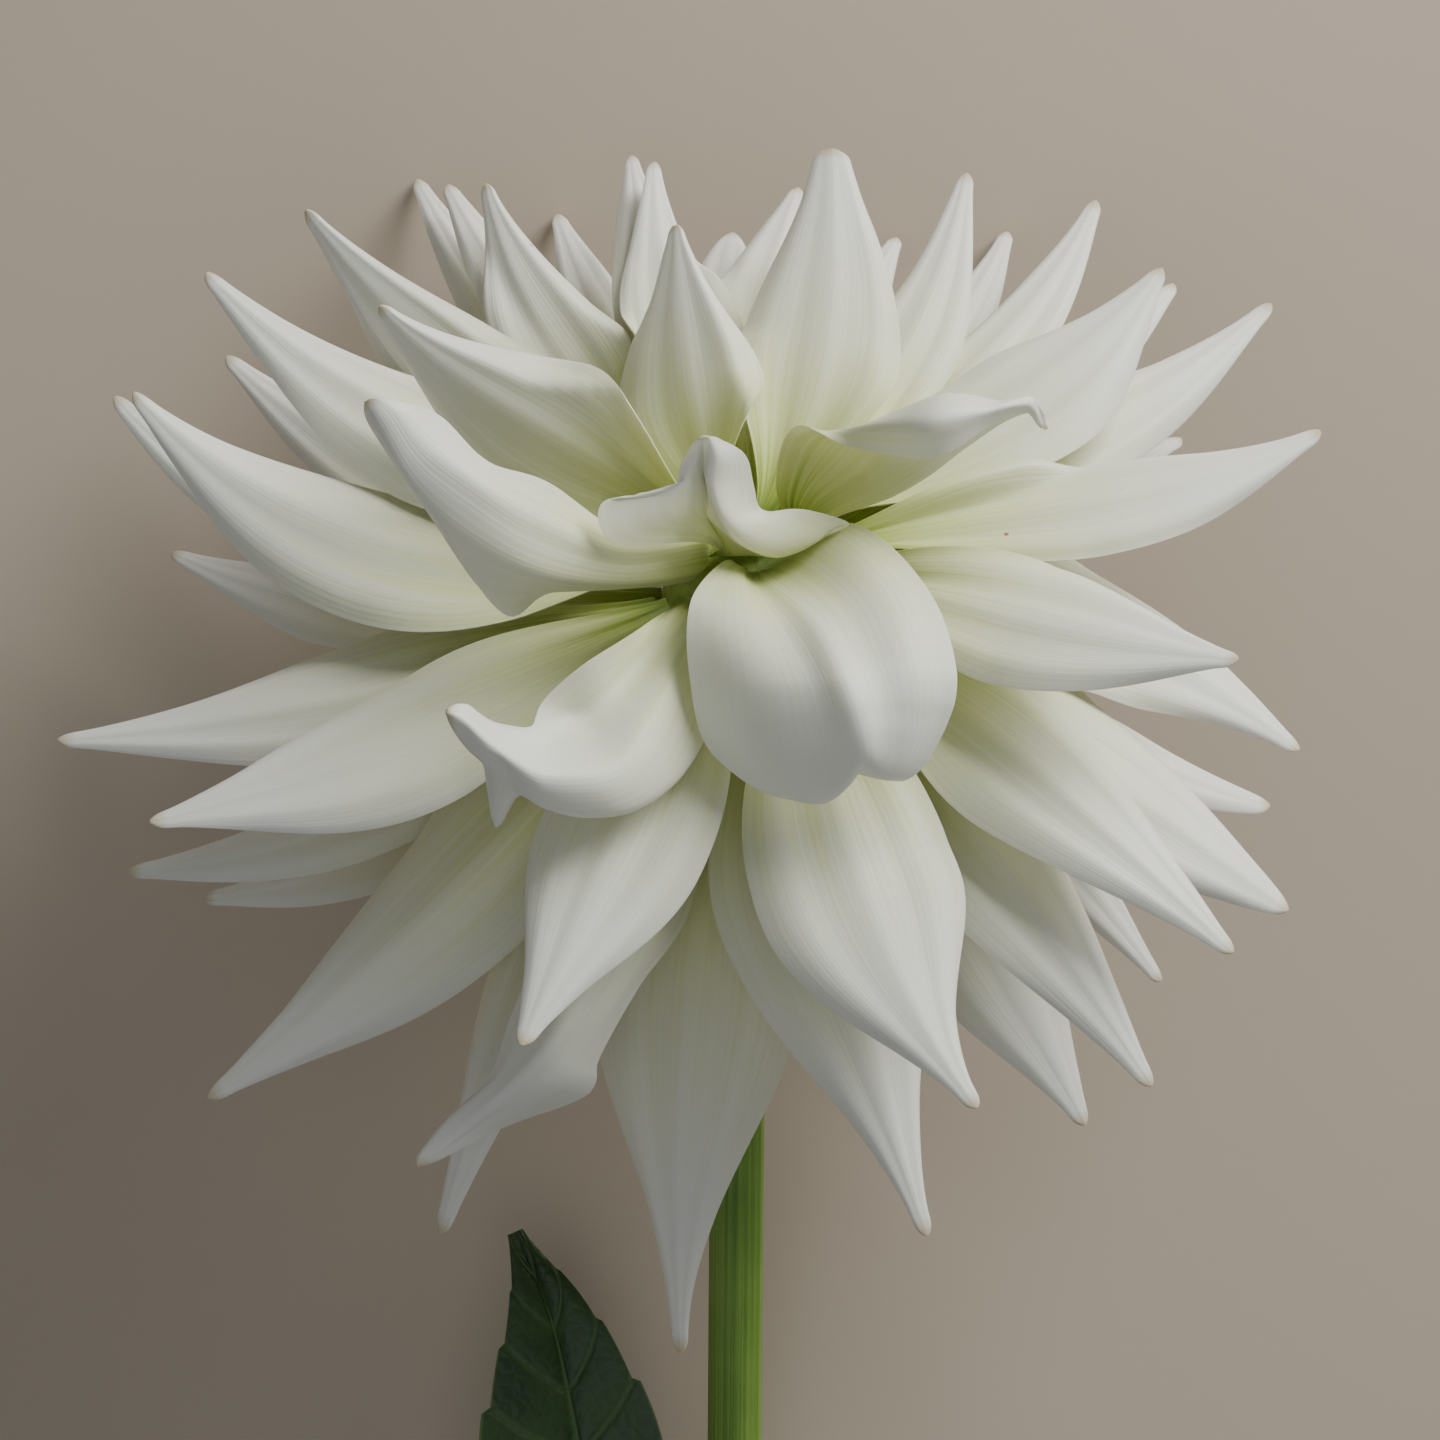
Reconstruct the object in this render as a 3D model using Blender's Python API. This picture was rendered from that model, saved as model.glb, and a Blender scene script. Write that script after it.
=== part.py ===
"""Cut dahlia flower lying on a surface: stem, leaf, bracts, receptacle, young florets and ray petals.

The head is described about the middle of its receptacle, in millimetres: X across the stem, Y along
the stem towards the bloom and Z up from the surface.  Each petal is a sheet on a lattice, either swept
along its midrib or laid through hand-set ribs.  Petals are laid in order from the back row to the
centre, and each one is lifted just clear of those under it before it is given its thickness.
"""
import math

import bmesh
import bpy
import numpy as np
from mathutils import Matrix, Vector
from mathutils.bvhtree import BVHTree

# ---- Driving dimensions, in millimetres and degrees ----
MM = 0.001
HEAD_TILT = 39.0              # lean of the head's axis from straight up towards +Y
DOME_RADIUS = 14.0            # receptacle dome that carries every floret
DOME_BACK = ((10.6, -8.8), (7.6, -10.6), (4.4, -11.6), (0.0, -11.6))
SEAT_GAP = 0.9                # from the dome to the middle of a petal's claw
ROW_POLAR = (104, 86, 69, 51, 34, 22)      # angle of each petal row's seats from the axis
PETAL_CLEARANCE = 1.60        # between the middles of two petals, one over the other
LIFT_REACH = 9.0              # how far over itself a petal looks for what it has to clear
LIFT_ROUNDS = 7
CLAW_WIDTH = 4.2
TIP_WIDTH = 2.5
STATIONS = 25                 # lattice lines along a petal
COLUMNS = 25                  # lattice lines across a petal
HANDLE = 0.36                 # share of a petal's length that its end directions hold
KEEL_SPREAD = 0.15            # share of the half width over which the midrib's fold opens
ROLL_START = 0.5              # share of the half width where the margin begins to roll
ROLL_FULL_WIDTH = 6.0         # half width from which a margin rolls in full
LAPEL_RUN = 0.3               # share of the length over which a lapel opens to its full width
LAPEL_CREASE = 0.08           # share of the half width over which a lapel turns
RIPPLE = 0.8                  # slow wave of a petal's margins
RIPPLE_WAVES = 1.6            # along the petal's length
SECTION_STEPS = 32
BRACT_POLAR = 128
BRACT_COUNT = 5
FLORET_LOBES = 8
STEM_RADIUS = 4.5
NECK_RADIUS = 3.7
STEM_NODE = -192.0            # where along Y the leaf's node swells the stem
STEM_NODE_SWELL = 0.9
STEM_BORE_RADIUS = 2.6
STEM_BORE_DEPTH = 9.0
LEAF_TEETH = 8
LEAF_LEFT = 21.0              # reach of the leaf's blade from its midrib
LEAF_RIGHT = 16.5
LEAF_STALK = 0.24             # share of the leaf's route that is stalk
LEAF_STALK_HALF = 1.4
LATTICE_STEPS = {2: (3, 3), 3: (2, 3), 4: (2, 3), 5: (2, 3)}   # lines used for the solid, by row
COARSE_STEPS = (3, 3)         # the same for the outer rows and the bracts
PETAL_THICKNESS = 0.6
BRACT_THICKNESS = 0.8
LEAF_THICKNESS = 0.6
LEAF_ROWS = 49
LEAF_COLUMNS = 5
DOME_SIDES = 28
STEM_SIDES = 16
STEM_RINGS = 22
FLORET_SIDES = 16
FLORET_FOOT = 0.35            # from the dome to the foot of the young florets
FLORET_SWELL = 0.07
YOUNG_CONE = (                # radius and height over the foot
    (0.0, 6.4), (1.3, 6.0), (2.4, 4.6), (2.9, 2.8), (2.6, 1.0), (2.0, 0.2), (0.0, 0.0),
)

PETAL_WHITE = (0.83, 0.84, 0.80)
YOUNG_GREEN = (0.42, 0.55, 0.12)
STEM_GREEN = (0.16, 0.33, 0.05)
LEAF_GREEN = (0.03, 0.10, 0.02)
BRACT_GREEN = (0.14, 0.27, 0.06)

AXIS = np.array([0.0, math.sin(math.radians(HEAD_TILT)), math.cos(math.radians(HEAD_TILT))])
ACROSS = np.array([1.0, 0.0, 0.0])
BACKWARD = np.cross(AXIS, ACROSS)
UPWARD = np.array([0.0, 0.0, 1.0])
LEAF_FACE = np.array([0.15, 0.0, 1.0])     # way that the leaf's upper side looks

# Stem middle line from the back of the receptacle to the cut end, about the receptacle's middle.
STEM_ROUTE = (
    (0.0, -8.0, -9.8), (-0.3, -15.5, -18.5), (-0.9, -30.0, -28.5), (-1.6, -55.0, -36.0),
    (-2.2, -95.0, -42.5), (-2.6, -140.0, -49.5), (-2.9, -190.0, -57.5), (-2.8, -242.0, -65.4),
)
LEAF_ROUTE = (
    (-10.8, -194.0, -56.0), (-16.0, -187.0, -54.0), (-22.0, -175.0, -51.0), (-26.5, -157.0, -49.0),
    (-29.5, -138.0, -48.0), (-33.5, -120.0, -48.5), (-39.5, -106.0, -50.0),
)


def petal(name, row, azimuth, tip, width, **shape):
    """One petal's design: its seat (row and azimuth about the axis), tip, flat width and shape."""
    design = dict(
        name=name, row=row, azimuth=azimuth, tip=np.array(tip, float), width=width,
        broad=0.46,           # share of the length where it is widest
        point=1.35,           # higher is more drawn out at the tip
        rise=(22, -14),       # how its midrib leaves and ends, towards the face, against its chord
        sway=(0, 0),          # the same sideways, to the right when seen from seat to tip
        turn=0, twist=0,      # turn of the whole blade about its midrib, and more of it at the tip
        keel=-8,              # fold along the midrib, below zero for a ridge on the face
        cup=(75, 4, -10),     # bend of each half at seat, middle and tip, above zero for a channel
        left=(-35, -70),      # roll of the left margin at middle and tip, below zero for backwards
        right=(-35, -70),
        left_lapel=None,      # crisp turn of the margin: its angle, where along it starts, and the
        right_lapel=None,     # share of the half width at which its crease runs
        claw_width=CLAW_WIDTH, tip_width=TIP_WIDTH,
        ribs=None,            # for a petal that is shaped by hand-set ribs instead
    )
    design.update(shape)
    return design


# Petals from the back row to the centre; tips are in millimetres from the receptacle's middle.
PETALS = (
    # Row 0, the outermost.
    petal("petal_10", 0, 334, (67, -62, -24), 17),
    petal("petal_08", 0, 204, (-90, -49, -32), 19, rise=(6, 0), sway=(-24, 22)),
    petal("petal_14", 0, 264, (-11, -118, 12), 35, sway=(6, -6), point=2.0, turn=12),
    petal("petal_11", 0, 240, (-49, -100, 5), 17, sway=(4, -4)),
    petal("petal_07", 0, 2, (86, -34, -38), 14, rise=(10, -6), sway=(10, -14), point=0.8),
    petal("petal_13", 0, 312, (53, -83, 4), 26, broad=0.6, point=1.4),
    petal("petal_09", 0, 186, (-101, -44, -20), 20, rise=(8, 0), sway=(-22, 22)),
    petal("petal_12", 0, 292, (32, -76, 16), 18),
    petal("petal_06", 0, 34, (72, 27, -47), 15, sway=(10, -10)),
    petal("petal_05", 0, 168, (-97, 8, -50), 20, rise=(6, 0), sway=(-18, 16)),
    petal("petal_01", 0, 112, (-33, 66, -69.4), 15, sway=(-6, 6)),
    petal("petal_02", 0, 66, (44, 63, -69.6), 13, sway=(12, -12)),
    petal("petal_04", 0, 148, (-88, 41, -52), 19, rise=(6, 0), sway=(-16, 14)),
    petal("petal_03", 0, 130, (-57, 72, -69.4), 14, sway=(-10, 10)),
    # Row 1.
    petal("petal_15", 1, 76, (25, 62, -69.4), 13),
    petal("petal_16", 1, 122, (-51, 70, -55), 16, sway=(-10, 10)),
    petal("petal_17", 1, 94, (-3, 62, -56), 19, sway=(-8, 8), point=0.8),
    petal("petal_18", 1, 46, (71, 53, -50), 15, sway=(16, -16)),
    petal("petal_19", 1, 160, (-103, 33, -18), 18, rise=(4, 4), sway=(-30, 30)),
    petal("petal_21", 1, 332, (85, -49, 5), 26, broad=0.54, point=0.95, rise=(18, -12)),
    petal("petal_20", 1, 352, (88, -24, -8), 27, sway=(-20, 20)),
    petal("petal_22", 1, 218, (-85, -78, 12), 29, rise=(10, -6), sway=(-14, 12)),
    petal("petal_23", 1, 308, (62, -75, 25), 25),
    petal("petal_24", 1, 242, (-51, -87, 30), 26, ribs=(
        ((-5, -25, 12), (-9, -23, 14), (-13, -22, 15), (-16, -20, 15), (-20, -19, 13)),
        ((-9, -47, 24), (-14, -45, 28), (-18, -43, 29), (-23, -41, 28), (-27, -39, 24)),
        ((-17, -59, 30), (-21, -59, 34), (-26, -58, 35), (-30, -57, 33), (-33, -55, 30)),
        ((-23, -70, 32), (-27, -68, 36), (-30, -67, 38), (-34, -66, 35), (-37, -65, 31)),
        ((-25, -76, 30), (-31, -74, 35), (-36, -74, 36), (-38, -73, 34), (-40, -73, 31)),
        ((-38, -81, 29), (-42, -81, 31), (-44, -81, 32), (-46, -80, 31), (-47, -80, 29)),
    )),
    petal("petal_25", 1, 284, (27, -97, 35), 35, broad=0.42, sway=(8, -6), point=1.8),
    petal("petal_34", 1, 190, (-109, -22, 8), 25, rise=(8, -4), sway=(-14, 12)),
    # Row 2.
    petal("petal_26", 2, 56, (58, 67, -50), 16, rise=(12, 0), sway=(14, -16)),
    petal("petal_27", 2, 104, (-20, 75, -56), 18, sway=(-6, 6), right_lapel=(-75, 0.4, 0.6)),
    petal("petal_28", 2, 84, (8, 69, -48), 21, sway=(-10, 8)),
    petal(
        "petal_29", 2, 122, (-44, 69, -40), 22, rise=(12, 0), sway=(-16, 16), turn=-32,
        right=(0, -20), right_lapel=(-52, 0.32, 0.58),
    ),
    petal("petal_30", 2, 68, (36, 71, -42), 17, rise=(12, 0), sway=(18, -14)),
    petal("petal_31", 2, 34, (86, 49, -36), 19, rise=(8, 0), sway=(14, -14)),
    petal(
        "petal_32", 2, 140, (-73, 64, -30), 24, rise=(8, 0), sway=(-14, 12), turn=-45,
        right=(0, -20), right_lapel=(-62, 0.25, 0.48),
    ),
    petal("petal_33", 2, 162, (-98, 33, 0), 31, rise=(2, 6), sway=(-30, 28), keel=-22),
    petal("petal_35", 2, 206, (-92, -34, 32), 27, rise=(10, -4), sway=(-14, 12), broad=0.54),
    petal("petal_36", 2, 320, (74, -54, 32), 27),
    petal("petal_37", 2, 290, (34, -76, 52), 34, broad=0.56, point=1.8, sway=(6, -18)),
    petal("petal_38", 2, 250, (-34, -66, 60), 28, broad=0.54, sway=(-4, 2)),
    # Row 3.
    petal(
        "petal_39", 3, 100, (-16, 73, -44), 19, rise=(12, 0), sway=(-8, 8), turn=12,
        right=(0, -20), right_lapel=(-55, 0.50, 0.60),
    ),
    petal("petal_40", 3, 46, (67, 54, -22), 25, rise=(8, 0), sway=(17, -17), broad=0.56),
    petal("petal_41", 3, 146, (-88, 53, -16), 25, rise=(6, 2), sway=(-16, 16), keel=-16),
    petal("petal_42", 3, 14, (91, 27, -4), 20, rise=(8, -2), sway=(9, -17), broad=0.52),
    petal("petal_43", 3, 346, (74, -9, 42), 27, rise=(10, -8), sway=(2, -8), broad=0.54),
    petal("petal_44", 3, 222, (-45, -16.5, 63), 36, ribs=(
        ((-2, -6, 24), (-5, -6, 28), (-8, -4, 29), (-12, -3, 28), (-15, -3, 30)),
        ((-6, -20, 34), (-9, -23, 42), (-15, -18, 45), (-21, -14, 40), (-24, -9, 45)),
        ((-16, -28, 42), (-17, -31, 49), (-21, -25, 52), (-27, -18, 42), (-31, -15, 46)),
        ((-27, -27, 47), (-27, -32, 52), (-30, -26, 57), (-31, -21, 48), (-33, -19, 48)),
        ((-33, -26, 50), (-33, -29.5, 54), (-33.5, -25, 59), (-34, -20.5, 52), (-35, -19, 50)),
        ((-38, -35, 46), (-36, -26.5, 56), (-37, -22.5, 60), (-37.5, -19.5, 55), (-38, -18.5, 52)),
        ((-40, -24, 53), (-39.5, -24, 58), (-39.5, -20.5, 62), (-40, -18, 57), (-40.5, -17, 54)),
        ((-43.5, -20.5, 57), (-43.5, -20, 60), (-43.5, -17, 63), (-43.5, -15.5, 61), (-43, -15, 59)),
    )),
    # Row 4.
    petal(
        "petal_45", 4, 74, (13, 73, -16), 27, rise=(10, 0), sway=(16, -10), broad=0.44, point=1.25,
        tip_width=6.0,
    ),
    petal(
        "petal_46", 4, 112, (-12, 60, -6), 28, rise=(8, 0), sway=(-24, 8), broad=0.44, turn=-35,
        right=(0, -20), right_lapel=(-65, 0.20, 0.60),
    ),
    petal("petal_47", 4, 26, (45.5, 26.5, 25), 17, ribs=(
        ((4, 19, 12), (7, 17.5, 11.5), (9, 16, 11.5), (11, 14.5, 12), (13.5, 13, 13)),
        ((7, 27, 17), (11, 25, 15), (15, 22, 15), (18.5, 19, 16), (22, 16, 18)),
        ((16, 23.5, 27), (17, 26.5, 27), (19, 27, 22), (23.5, 23.5, 18), (28, 19.5, 19)),
        ((28, 22, 35), (27, 27, 38), (29, 31.5, 33), (32, 28, 24), (34, 24, 22)),
        ((37, 27, 33), (37, 29, 35), (38.5, 30.5, 32), (39.5, 29, 28), (40, 28, 27)),
        ((42, 29, 31), (42.5, 30, 32), (43.2, 31, 31), (44, 30, 29), (44.5, 29, 28)),
    )),
    petal(
        "petal_48", 4, 150, (-58, 46, 14), 29, rise=(6, 4), sway=(-8, 14), turn=-58, keel=-10,
        right=(0, -20), right_lapel=(-60, 0.30, 0.42),
    ),
    petal("petal_49", 4, 192, (-58, 30, 46), 35, claw_width=3.0, ribs=(
        ((-12, 3, 14), (-9.5, 3.5, 18), (-8, 5, 20.5), (-7.2, 8.5, 20), (-9, 10, 17)),
        ((-23, 3, 20), (-21, 2, 25), (-20, 3, 29), (-20, 7, 31), (-20, 11, 27)),
        ((-32, 1, 26), (-32, 2, 33), (-33, 5, 38), (-33, 12, 39), (-31, 18, 34)),
        ((-38, -2, 29), (-41, 3, 36), (-44, 11, 42), (-41, 17, 43), (-40, 21, 38)),
        ((-47, 10, 35), (-49, 14, 40), (-51, 18, 44), (-49, 23, 45), (-47, 28, 41)),
        ((-56, 25, 42), (-57, 26, 45), (-56, 27, 48), (-54, 29, 48), (-53, 30, 46)),
    )),
    # Row 5, beside the young florets.
    petal("petal_50", 5, 282, (16, -26, 46), 44, ribs=(
        (
            (15, 12, 23), (11, 10, 23.5), (6, 5, 23.5), (2.5, 2.5, 24.5), (0, 3, 24.5),
            (-2, 4.5, 24.5), (-4, 6, 24),
        ),
        (
            (27, 2, 38), (21, 1, 41.5), (14, -1.5, 42.5), (9.5, -3.5, 44.5), (5, -4, 42.8),
            (-2, -3, 41), (-9, 0, 36),
        ),
        (
            (31, -11, 46), (25, -10.5, 50), (18.5, -11, 51.5), (14, -12, 54), (9.5, -12.5, 52.3),
            (0, -12.5, 49), (-9, -12, 42),
        ),
        (
            (29, -20, 46), (25, -19.5, 50), (20.5, -19, 52.5), (16.5, -20, 54.8), (12, -21.5, 52.5),
            (2, -23, 48), (-6, -23, 42),
        ),
        (
            (24, -27, 45), (22, -26.5, 48), (19.5, -26, 50), (17, -24.5, 52), (14, -28, 49.5),
            (10, -30.5, 46), (5, -30, 44),
        ),
    )),
    petal("petal_51", 5, 200, (-7, 25, 38), 34, claw_width=3.0, ribs=(
        ((-5, 8, 17), (-4.5, 8.5, 19), (-3, 8, 17), (4, 7, 22), (12, 11, 21)),
        ((-9, 9, 27), (-7, 12, 26), (-4.5, 11, 21), (3, 7, 27), (15, 12, 25)),
        ((-21, 9, 35), (-9, 14, 31), (-6, 13, 25), (-1, 9, 30), (8, 14, 26)),
        ((-22.5, 15, 36), (-9, 17, 33), (-6.5, 17, 28), (-4.5, 13, 33), (2, 14, 28)),
        ((-12.5, 16.5, 34), (-8.5, 20, 34), (-7, 20, 31), (-6, 18, 35), (0.5, 18, 30)),
        ((-10.5, 21, 34), (-8, 23, 36), (-7, 23, 34), (-5.5, 22, 37), (-1, 22.5, 33)),
    )),
)


def unit(vector):
    return vector / np.linalg.norm(vector)


def axis_direction(polar, azimuth):
    """Direction at a polar angle from the head's axis and an azimuth about it, in degrees."""
    polar = math.radians(polar)
    azimuth = math.radians(azimuth)
    outward = math.cos(azimuth) * ACROSS + math.sin(azimuth) * BACKWARD
    return math.cos(polar) * AXIS + math.sin(polar) * outward


def smooth_route(stops, places):
    """Points on a smooth curve through the stops, at places counted in stops."""
    stops = np.array(stops, float)
    padded = np.concatenate(([2 * stops[0] - stops[1]], stops, [2 * stops[-1] - stops[-2]]))
    first = np.minimum(np.asarray(places).astype(int), len(stops) - 2)
    t = (np.asarray(places) - first).reshape((-1,) + (1,) * (stops.ndim - 1))
    a, b, c, d = (padded[first + k] for k in range(4))
    return 0.5 * (
        2 * b + (c - a) * t + (2 * a - 5 * b + 4 * c - d) * t ** 2
        + (3 * b - a - 3 * c + d) * t ** 3
    )


def leaning(chord, face, side, rise, sway):
    """The chord's direction leant towards the face and the side by two angles in degrees."""
    lean = chord + math.tan(math.radians(rise)) * face + math.tan(math.radians(sway)) * side
    return unit(lean)


def midrib(design, seat):
    """Points, tangents and face directions along a petal's midrib."""
    chord = design["tip"] - seat
    length = np.linalg.norm(chord)
    chord = chord / length
    face = unit(AXIS - (AXIS @ chord) * chord)
    side = np.cross(chord, face)
    depart = leaning(chord, face, side, design["rise"][0], design["sway"][0])
    arrive = leaning(chord, face, side, design["rise"][1], design["sway"][1])
    handle = length * HANDLE
    ends = (seat, seat + handle * depart, design["tip"] - handle * arrive, design["tip"])
    s = np.linspace(0.0, 1.0, STATIONS)[:, None]
    points = (
        (1 - s) ** 3 * ends[0] + 3 * s * (1 - s) ** 2 * ends[1]
        + 3 * s ** 2 * (1 - s) * ends[2] + s ** 3 * ends[3]
    )
    tangents = np.gradient(points, axis=0)
    tangents /= np.linalg.norm(tangents, axis=1)[:, None]
    faces = np.empty_like(points)
    for i, tangent in enumerate(tangents):
        face = unit(face - (face @ tangent) * tangent)
        faces[i] = face
    return points, tangents, faces


def half_widths(design):
    """Half of the petal's flat width at each station, from the narrow claw to the pointed tip."""
    s = np.linspace(0.0, 1.0, STATIONS)
    broad = design["broad"]
    opening = np.sin(np.clip(s / broad, 0, 1) * math.pi / 2) ** 1.4
    closing = np.cos(np.clip((s - broad) / (1 - broad), 0, 1) * math.pi / 2) ** design["point"]
    claw = design["claw_width"] + (design["width"] - design["claw_width"]) * opening
    widths = design["tip_width"] + (claw - design["tip_width"]) * closing
    return widths / 2


def eased(value):
    """Smooth step from 0 to 1 as the value goes from 0 to 1."""
    value = np.clip(value, 0, 1)
    return value * value * (3 - 2 * value)


def blend(stops, s):
    """Value at s along stops that are evenly spaced from 0 to 1."""
    return np.interp(s, np.linspace(0, 1, len(stops)), stops)


def section(design, half, s, sign):
    """Sideways and face-ways offsets from midrib to margin of one side of the blade."""
    q = (np.arange(SECTION_STEPS) + 0.5) / SECTION_STEPS
    mid_roll, tip_roll = design["right"] if sign > 0 else design["left"]
    roll = blend((0, mid_roll, tip_roll), s) * min(1.0, half / ROLL_FULL_WIDTH)
    keel = design["keel"] * min(1.0, s * 4)
    bend = keel * np.tanh(q / KEEL_SPREAD) + blend(design["cup"], s) * q
    margin = np.clip((q - ROLL_START) / (1 - ROLL_START), 0, None)
    bend = bend + roll * margin ** 1.3
    lapel = design["right_lapel"] if sign > 0 else design["left_lapel"]
    if lapel:
        angle, start, inner = lapel
        crease = 1 - (1 - inner) * eased((s - start) / LAPEL_RUN)
        bend = bend + angle * eased((q - crease) / LAPEL_CREASE)
    bend = np.radians(bend)
    step = half / SECTION_STEPS
    across = np.concatenate(([0], np.cumsum(np.cos(bend)))) * step
    raised = np.concatenate(([0], np.cumsum(np.sin(bend)))) * step
    places = np.arange(SECTION_STEPS + 1)
    wave = math.sin(math.tau * RIPPLE_WAVES * s + design["azimuth"] + sign)
    raised = raised + RIPPLE * wave * math.sin(math.pi * s) * (places / SECTION_STEPS) ** 3
    wanted = np.linspace(0, SECTION_STEPS, (COLUMNS + 1) // 2)
    return np.interp(wanted, places, across), np.interp(wanted, places, raised)


def blade(design, seat):
    """A petal's lattice of points, and the face direction at each station."""
    if design["ribs"]:
        return loft(design, seat)
    points, tangents, faces = midrib(design, seat)
    halves = half_widths(design)
    lattice = np.empty((STATIONS, COLUMNS, 3))
    normals = np.empty((STATIONS, 3))
    middle = COLUMNS // 2
    for i, s in enumerate(np.linspace(0, 1, STATIONS)):
        roll = math.radians(design["turn"] + design["twist"] * s ** 2)
        side = np.cross(tangents[i], faces[i])
        face = math.cos(roll) * faces[i] + math.sin(roll) * side
        side = np.cross(tangents[i], face)
        normals[i] = face
        for sign in (-1, 1):
            across, raised = section(design, halves[i], s, sign)
            rows = points[i] + sign * across[:, None] * side + raised[:, None] * face
            if sign > 0:
                lattice[i, middle:] = rows
            else:
                lattice[i, :middle + 1] = rows[::-1]
    return lattice, normals


def loft(design, seat):
    """A petal's lattice through its hand-set ribs, and the way that it is lifted at each station."""
    ribs = np.array(design["ribs"], float)
    share = np.linspace(-0.5, 0.5, ribs.shape[1])[:, None]
    outward = unit(seat)
    side = ribs[0, -1] - ribs[0, 0]
    claw = seat + design["claw_width"] * share * unit(side - (side @ outward) * outward)
    end = design["tip"] + design["tip_width"] * share * unit(ribs[-1, -1] - ribs[-1, 0])
    stops = np.concatenate(([claw], ribs, [end]))
    middle = stops[:, ribs.shape[1] // 2]
    travelled = np.concatenate(([0], np.cumsum(np.linalg.norm(np.diff(middle, axis=0), axis=1))))
    evenly = np.linspace(0, travelled[-1], STATIONS)
    along = smooth_route(stops, np.interp(evenly, travelled, np.arange(len(stops))))
    wanted = np.linspace(0, ribs.shape[1] - 1, COLUMNS)
    lattice = smooth_route(along.swapaxes(0, 1), wanted).swapaxes(0, 1)
    return lattice, np.tile(UPWARD, (STATIONS, 1))


def lattice_faces(rows, columns):
    """Quads of a sheet's lattice, wound so that they face its upper side."""
    faces = []
    for i in range(rows - 1):
        for j in range(columns - 1):
            corner = i * columns + j
            faces.append((corner, corner + 1, corner + columns + 1, corner + columns))
    return faces


def surface_tree(lattices):
    """Search tree over the sheets that are already in place."""
    points = []
    faces = []
    for lattice in lattices:
        rows, columns = lattice.shape[:2]
        start = len(points)
        points.extend(Vector(p) for p in lattice.reshape(-1, 3))
        faces.extend(tuple(start + k for k in face) for face in lattice_faces(rows, columns))
    return BVHTree.FromPolygons(points, faces)


def lift_needed(lattice, normals, tree):
    """How far each lattice point has to move along its face direction to clear what lies under it."""
    rows, columns = lattice.shape[:2]
    lift = np.zeros((rows, columns))
    near_enough = PETAL_CLEARANCE * 0.8
    for i in range(rows):
        direction = Vector(normals[i])
        for j in range(columns):
            start = Vector(lattice[i, j]) + direction * LIFT_REACH
            hit = tree.ray_cast(start, -direction, LIFT_REACH + PETAL_CLEARANCE)
            if hit[0] is not None:
                lift[i, j] = PETAL_CLEARANCE + LIFT_REACH - hit[3]
            near = tree.find_nearest(Vector(lattice[i, j]), near_enough)
            if near[0] is not None:
                lift[i, j] = max(lift[i, j], near_enough - near[3])
    return lift


def spread(lift):
    """Smooth cover over a field of lifts that is nowhere lower than the lifts themselves."""
    padded = np.pad(lift, 2, mode="edge")
    rows, columns = lift.shape
    highest = np.zeros((rows + 2, columns + 2))
    for di in range(3):
        for dj in range(3):
            highest = np.maximum(highest, padded[di:di + rows + 2, dj:dj + columns + 2])
    smooth = np.zeros_like(lift)
    for di in range(3):
        for dj in range(3):
            smooth += highest[di:di + rows, dj:dj + columns] / 9
    return smooth


def settle(lattice, normals, placed):
    """Lift a sheet clear of the sheets under it, easing out along its length."""
    if not placed:
        return lattice
    tree = surface_tree(placed)
    for _ in range(LIFT_ROUNDS):
        lift = lift_needed(lattice, normals, tree)
        lift[0] = 0
        if lift.max() < 0.02:
            break
        lattice = lattice + spread(lift)[..., None] * normals[:, None, :]
    return lattice


def sheet_normals(lattice):
    """Unit normals of a sheet at its lattice points."""
    along = np.gradient(lattice, axis=0)
    across = np.gradient(lattice, axis=1)
    normals = np.cross(across, along)
    return normals / np.linalg.norm(normals, axis=2)[..., None]


def seat_of(design):
    """Where a petal or bract is seated, just off the receptacle."""
    polar = BRACT_POLAR if design["row"] is None else ROW_POLAR[design["row"]]
    return axis_direction(polar, design["azimuth"]) * (DOME_RADIUS + SEAT_GAP)


def bracts():
    """Green outer bracts behind the petals, turned back towards the stem."""
    designs = []
    for k in range(BRACT_COUNT):
        azimuth = 18 + 360 / BRACT_COUNT * k
        tip = axis_direction(150, azimuth) * 30
        designs.append(petal(
            f"bract_{k + 1}", None, azimuth, tip, 10, rise=(28, -30), keel=0,
            cup=(50, 14, 20), left=(0, 0), right=(0, 0), broad=0.6, point=0.8,
        ))
    return designs


def floret_sheets():
    """Every bract's and petal's finished lattice by name, laid in order."""
    sheets = {}
    for design in bracts() + list(PETALS):
        lattice, normals = blade(design, seat_of(design))
        sheets[design["name"]] = settle(lattice, normals, list(sheets.values()))
    return sheets


def leaf_half(share, c, toothed):
    """Half width of the leaf's blade on the side of c; share runs from stalk to tip, and toothed from
    0 inside the blade to 1 at its margin."""
    reach = LEAF_RIGHT if c > 0 else LEAF_LEFT
    swell = math.sin(math.pi * min(1.0, share ** 0.62)) ** 1.3
    tooth = 1 - 0.11 * toothed * (1 - (share * LEAF_TEETH) % 1.0)
    return LEAF_STALK_HALF + reach * swell * tooth


def leaf_fold(s, c, half):
    """Rise of the leaf's blade over its midrib: a shallow fold with a slow wave."""
    return 0.16 * abs(c) * half + 0.7 * math.sin(9 * s + 2 * c) * abs(c)


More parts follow.
